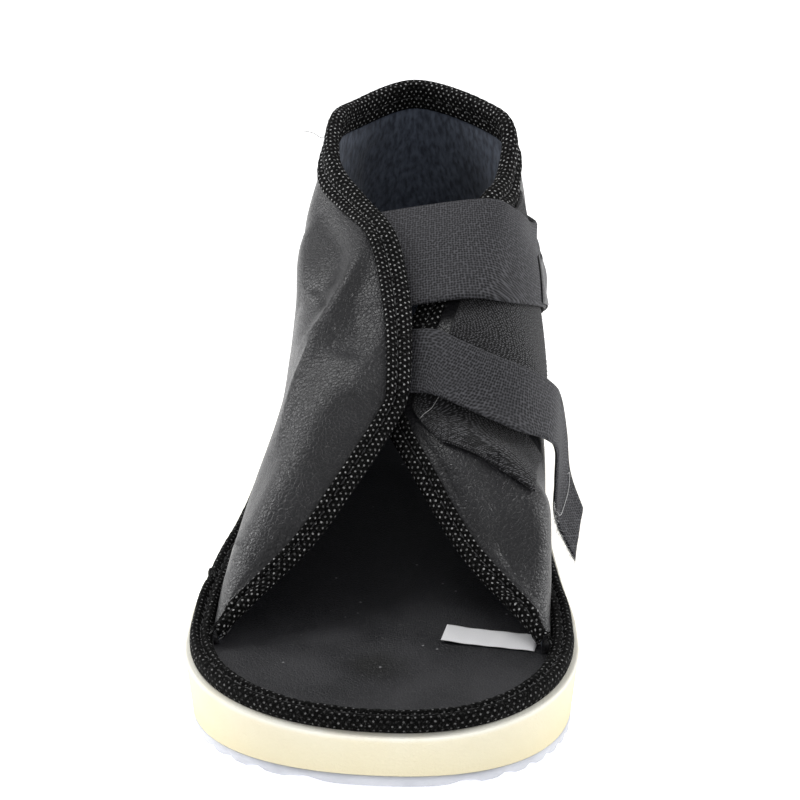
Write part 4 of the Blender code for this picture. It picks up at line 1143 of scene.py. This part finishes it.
def sewn(name, line, pitch, length, thread, material):
    """Stitches along a line of points, made by the stitching tree and kept as a plain mesh."""
    mesh = bpy.data.meshes.new(name + "_line")
    mesh.from_pydata(np.asarray(line).tolist(), [(i, i + 1) for i in range(len(line) - 1)], [])
    holder = bpy.data.objects.new(name + "_line", mesh)
    bpy.context.scene.collection.objects.link(holder)
    work = holder.modifiers.new("stitching", "NODES")
    work.node_group = stitching
    sockets = {item.name: item.identifier for item in stitching.interface.items_tree
               if item.in_out == "INPUT"}
    for key, value in (("Pitch", pitch), ("Length", length), ("Thread", thread), ("Finish", material)):
        work[sockets[key]] = value
    graph = bpy.context.evaluated_depsgraph_get()
    plain = bpy.data.meshes.new_from_object(holder.evaluated_get(graph))
    bpy.data.objects.remove(holder)
    plain.shade_smooth()
    piece = bpy.data.objects.new(name, plain)
    bpy.context.scene.collection.objects.link(piece)
    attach(piece, "root")
    return piece


def edge_seam(share, height):
    up = 1 - share * tape_share
    return on_grid(FACE, edge_foot, up) + on_grid(FACE_OUT, edge_foot, up) * height * MM


def patch_seam(table, n):
    """A closed line on a patch, n rows of its grid inside the border."""
    top = patch_grid(table, 2 * GAP + PATCH_THICKNESS * 0.92)
    return np.concatenate((top[n:-n, n], top[-n - 1, n:-n], top[n:-n, -n - 1][::-1], top[n, n:-n][::-1]))


rim_groove = sole_line(3.45 * MM)
rim_groove = np.column_stack((rim_groove, np.full(RIM_POINTS, FOOTBED_BOTTOM + 4.0 * MM)))
SEAMS = (
    # name, line, pitch, length, thread in mm
    ("edge_stitches", edge_seam(0.52, 0.72), 4.2, 2.9, 0.55, "tape"),
    ("edge_stitches_inside", edge_seam(0.52, -2.98), 4.2, 2.9, 0.55, "tape"),
    ("rim_stitches", rim_groove, 4.6, 3.2, 0.60, "tape"),
    ("panel_stitches", patch_seam(LOOP_PANEL, 3), 2.8, 2.0, 0.45, "loop"),
    ("loop_tape_stitches", patch_seam(LOOP_TAPE, 3), 2.8, 2.0, 0.45, "loop"),
)
for name, line, pitch, length, thread, finish_slot in SEAMS:
    piece = sewn(name, line, pitch * MM, length * MM, thread * MM, thread_black)

# Loose fibres. The cut edges fray: pale fuzz on the low strap's end, dark fuzz round the loop panel, a
# few single hairs, a loose thread at the collar and the knotted thread where the rolled tape closes.
fibre_pale = finish("pale_fibre", (0.75, 0.75, 0.75), 0.5)
fibre_dark = finish("dark_fibre", (0.03, 0.03, 0.033), 0.5)
for material, low_grey, high_grey in ((fibre_pale, 0.60, 0.82), (fibre_dark, 0.015, 0.06)):
    tree = material.node_tree
    place = object_place(tree)
    tint = noise(tree, place, 800.0)
    feed(material, "Base Color", ramp(tree, tint, ((0.3, low_grey), (0.7, high_grey))))


def strand(points, radius, steps):
    """A thin tube along a smooth line, as sections for swept."""
    points = np.asarray(points)
    knots = np.arange(len(points))
    at = np.linspace(0, len(points) - 1, steps)
    line = np.column_stack([smooth(knots, points[:, k], at) for k in range(3)])
    ahead = np.gradient(line, axis=0)
    ahead = ahead / np.linalg.norm(ahead, axis=1)[:, None]
    side = np.cross(ahead, (0.3, 0.2, 1.0))
    side = side / np.linalg.norm(side, axis=1)[:, None]
    up = np.cross(side, ahead)
    turn = np.linspace(0, 2 * math.pi, 5, endpoint=False)
    thin = radius * np.interp(at, (0, 0.6, len(points) - 1.6, len(points) - 1), (0.5, 1, 1, 0.4))
    return line[:, None] + thin[:, None, None] * (np.cos(turn)[None, :, None] * side[:, None]
                                                  + np.sin(turn)[None, :, None] * up[:, None])


def fuzz(name, line, out, count, length, radius, seed, material):
    """Short bent fibres that stand off a line, out being the way they lean."""
    rng = np.random.default_rng(seed)
    points = []
    faces = []
    for _ in range(count):
        at = rng.uniform(0, len(line) - 1.001)
        i = int(at)
        root = line[i] + (at - i) * (line[i + 1] - line[i])
        lean = out[i] + rng.normal(0, 0.55, 3)
        lean = lean / np.linalg.norm(lean)
        reach = length * rng.uniform(0.35, 1.0)
        bend = rng.normal(0, 0.35, 3) * reach
        curve = np.array((root, root + lean * reach * 0.5 + bend * 0.3, root + lean * reach + bend))
        tube = strand(curve, radius, 5)[:, ::2]
        base = len(points)
        sides = tube.shape[1]
        points.extend(tube.reshape(-1, 3).tolist())
        for a in range(4):
            for b in range(sides):
                c = (b + 1) % sides
                faces.append((base + a * sides + b, base + a * sides + c,
                              base + (a + 1) * sides + c, base + (a + 1) * sides + b))
        faces.append(tuple(base + b for b in reversed(range(sides))))
        faces.append(tuple(base + 4 * sides + b for b in range(sides)))
    piece = new_piece(name, points, faces, material)
    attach(piece, "root")
    return piece


def along(grid, row_shares, column_shares, lift):
    """Points over a grid of a strap or patch, read at shares of its rows and columns."""
    raised = standing_off(grid, lift)
    rows = np.asarray(row_shares) * (grid.shape[0] - 1)
    columns = np.asarray(column_shares) * (grid.shape[1] - 1)
    return raised[np.round(rows).astype(int), np.round(columns).astype(int)]


low_inner = standing_off(low_grid, 0.5 * STRAP_THICKNESS)[:, -1]
low_out = low_grid[:, -1] - low_grid[:, -4]
low_out = low_out / np.linalg.norm(low_out, axis=1)[:, None]
fuzz("strap_fuzz", low_inner[119:], low_out[119:], 300, 1.8 * MM, 0.035 * MM, 7, fibre_pale)
panel = patch_grid(LOOP_PANEL, 2 * GAP + PATCH_THICKNESS)
panel_out = standing_off(panel, 1.0) - panel
fuzz("panel_fuzz", panel[20:90, ::9].reshape(-1, 3), panel_out[20:90, ::9].reshape(-1, 3), 260, 1.0 * MM,
     0.04 * MM, 11, fibre_dark)
fuzz("panel_rim_fuzz", panel[3:, -1], panel_out[3:, -1], 260, 1.2 * MM, 0.04 * MM, 13, fibre_dark)

collar_root = over_leather(np.array((0.345,)), np.array((0.985,)), 1.6 * MM)[0]
lap_root = np.array((-0.0555, -0.0640, FOOTBED_BOTTOM + 4.2 * MM))
COLLAR_THREAD = ((0, 0, 0), (-1.6, -0.8, 0.2), (-3.4, -1.2, 1.6), (-5.6, -1.0, 2.3), (-7.6, -0.6, 2.2))
LAP_KNOT = ((0, 0, -0.5), (-0.9, 0.3, 1.4), (-0.5, 0.8, 3.0), (0.6, 1.2, 2.6), (0.9, 1.2, 0.8),
            (0.4, 0.4, -0.5))
for name, root, path, radius in (("collar_thread", collar_root, COLLAR_THREAD, 0.11),
                                 ("lap_knot", lap_root, LAP_KNOT, 0.42)):
    loose = swept(name, strand(root + np.array(path) * MM, radius * MM, 30), False, fibre_dark)
    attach(loose, "root")
HAIRS = (
    # name, points, radius in mm
    ("strap_hair", along(low_grid, (0.88, 0.905, 0.915, 0.915, 0.90, 0.885), (1.0, 0.85, 0.6, 0.3, 0.12, 0.2),
                         STRAP_THICKNESS + 0.15 * MM), 0.09),
    ("pile_hair", over_leather(np.array((0.914, 0.908, 0.900, 0.892, 0.885, 0.880)),
                               np.array((0.845, 0.815, 0.780, 0.765, 0.765, 0.785)), 2.4 * MM), 0.07),
)
for name, points, radius in HAIRS:
    hair = swept(name, strand(points, radius * MM, 30), False, fibre_pale)
    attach(hair, "root")
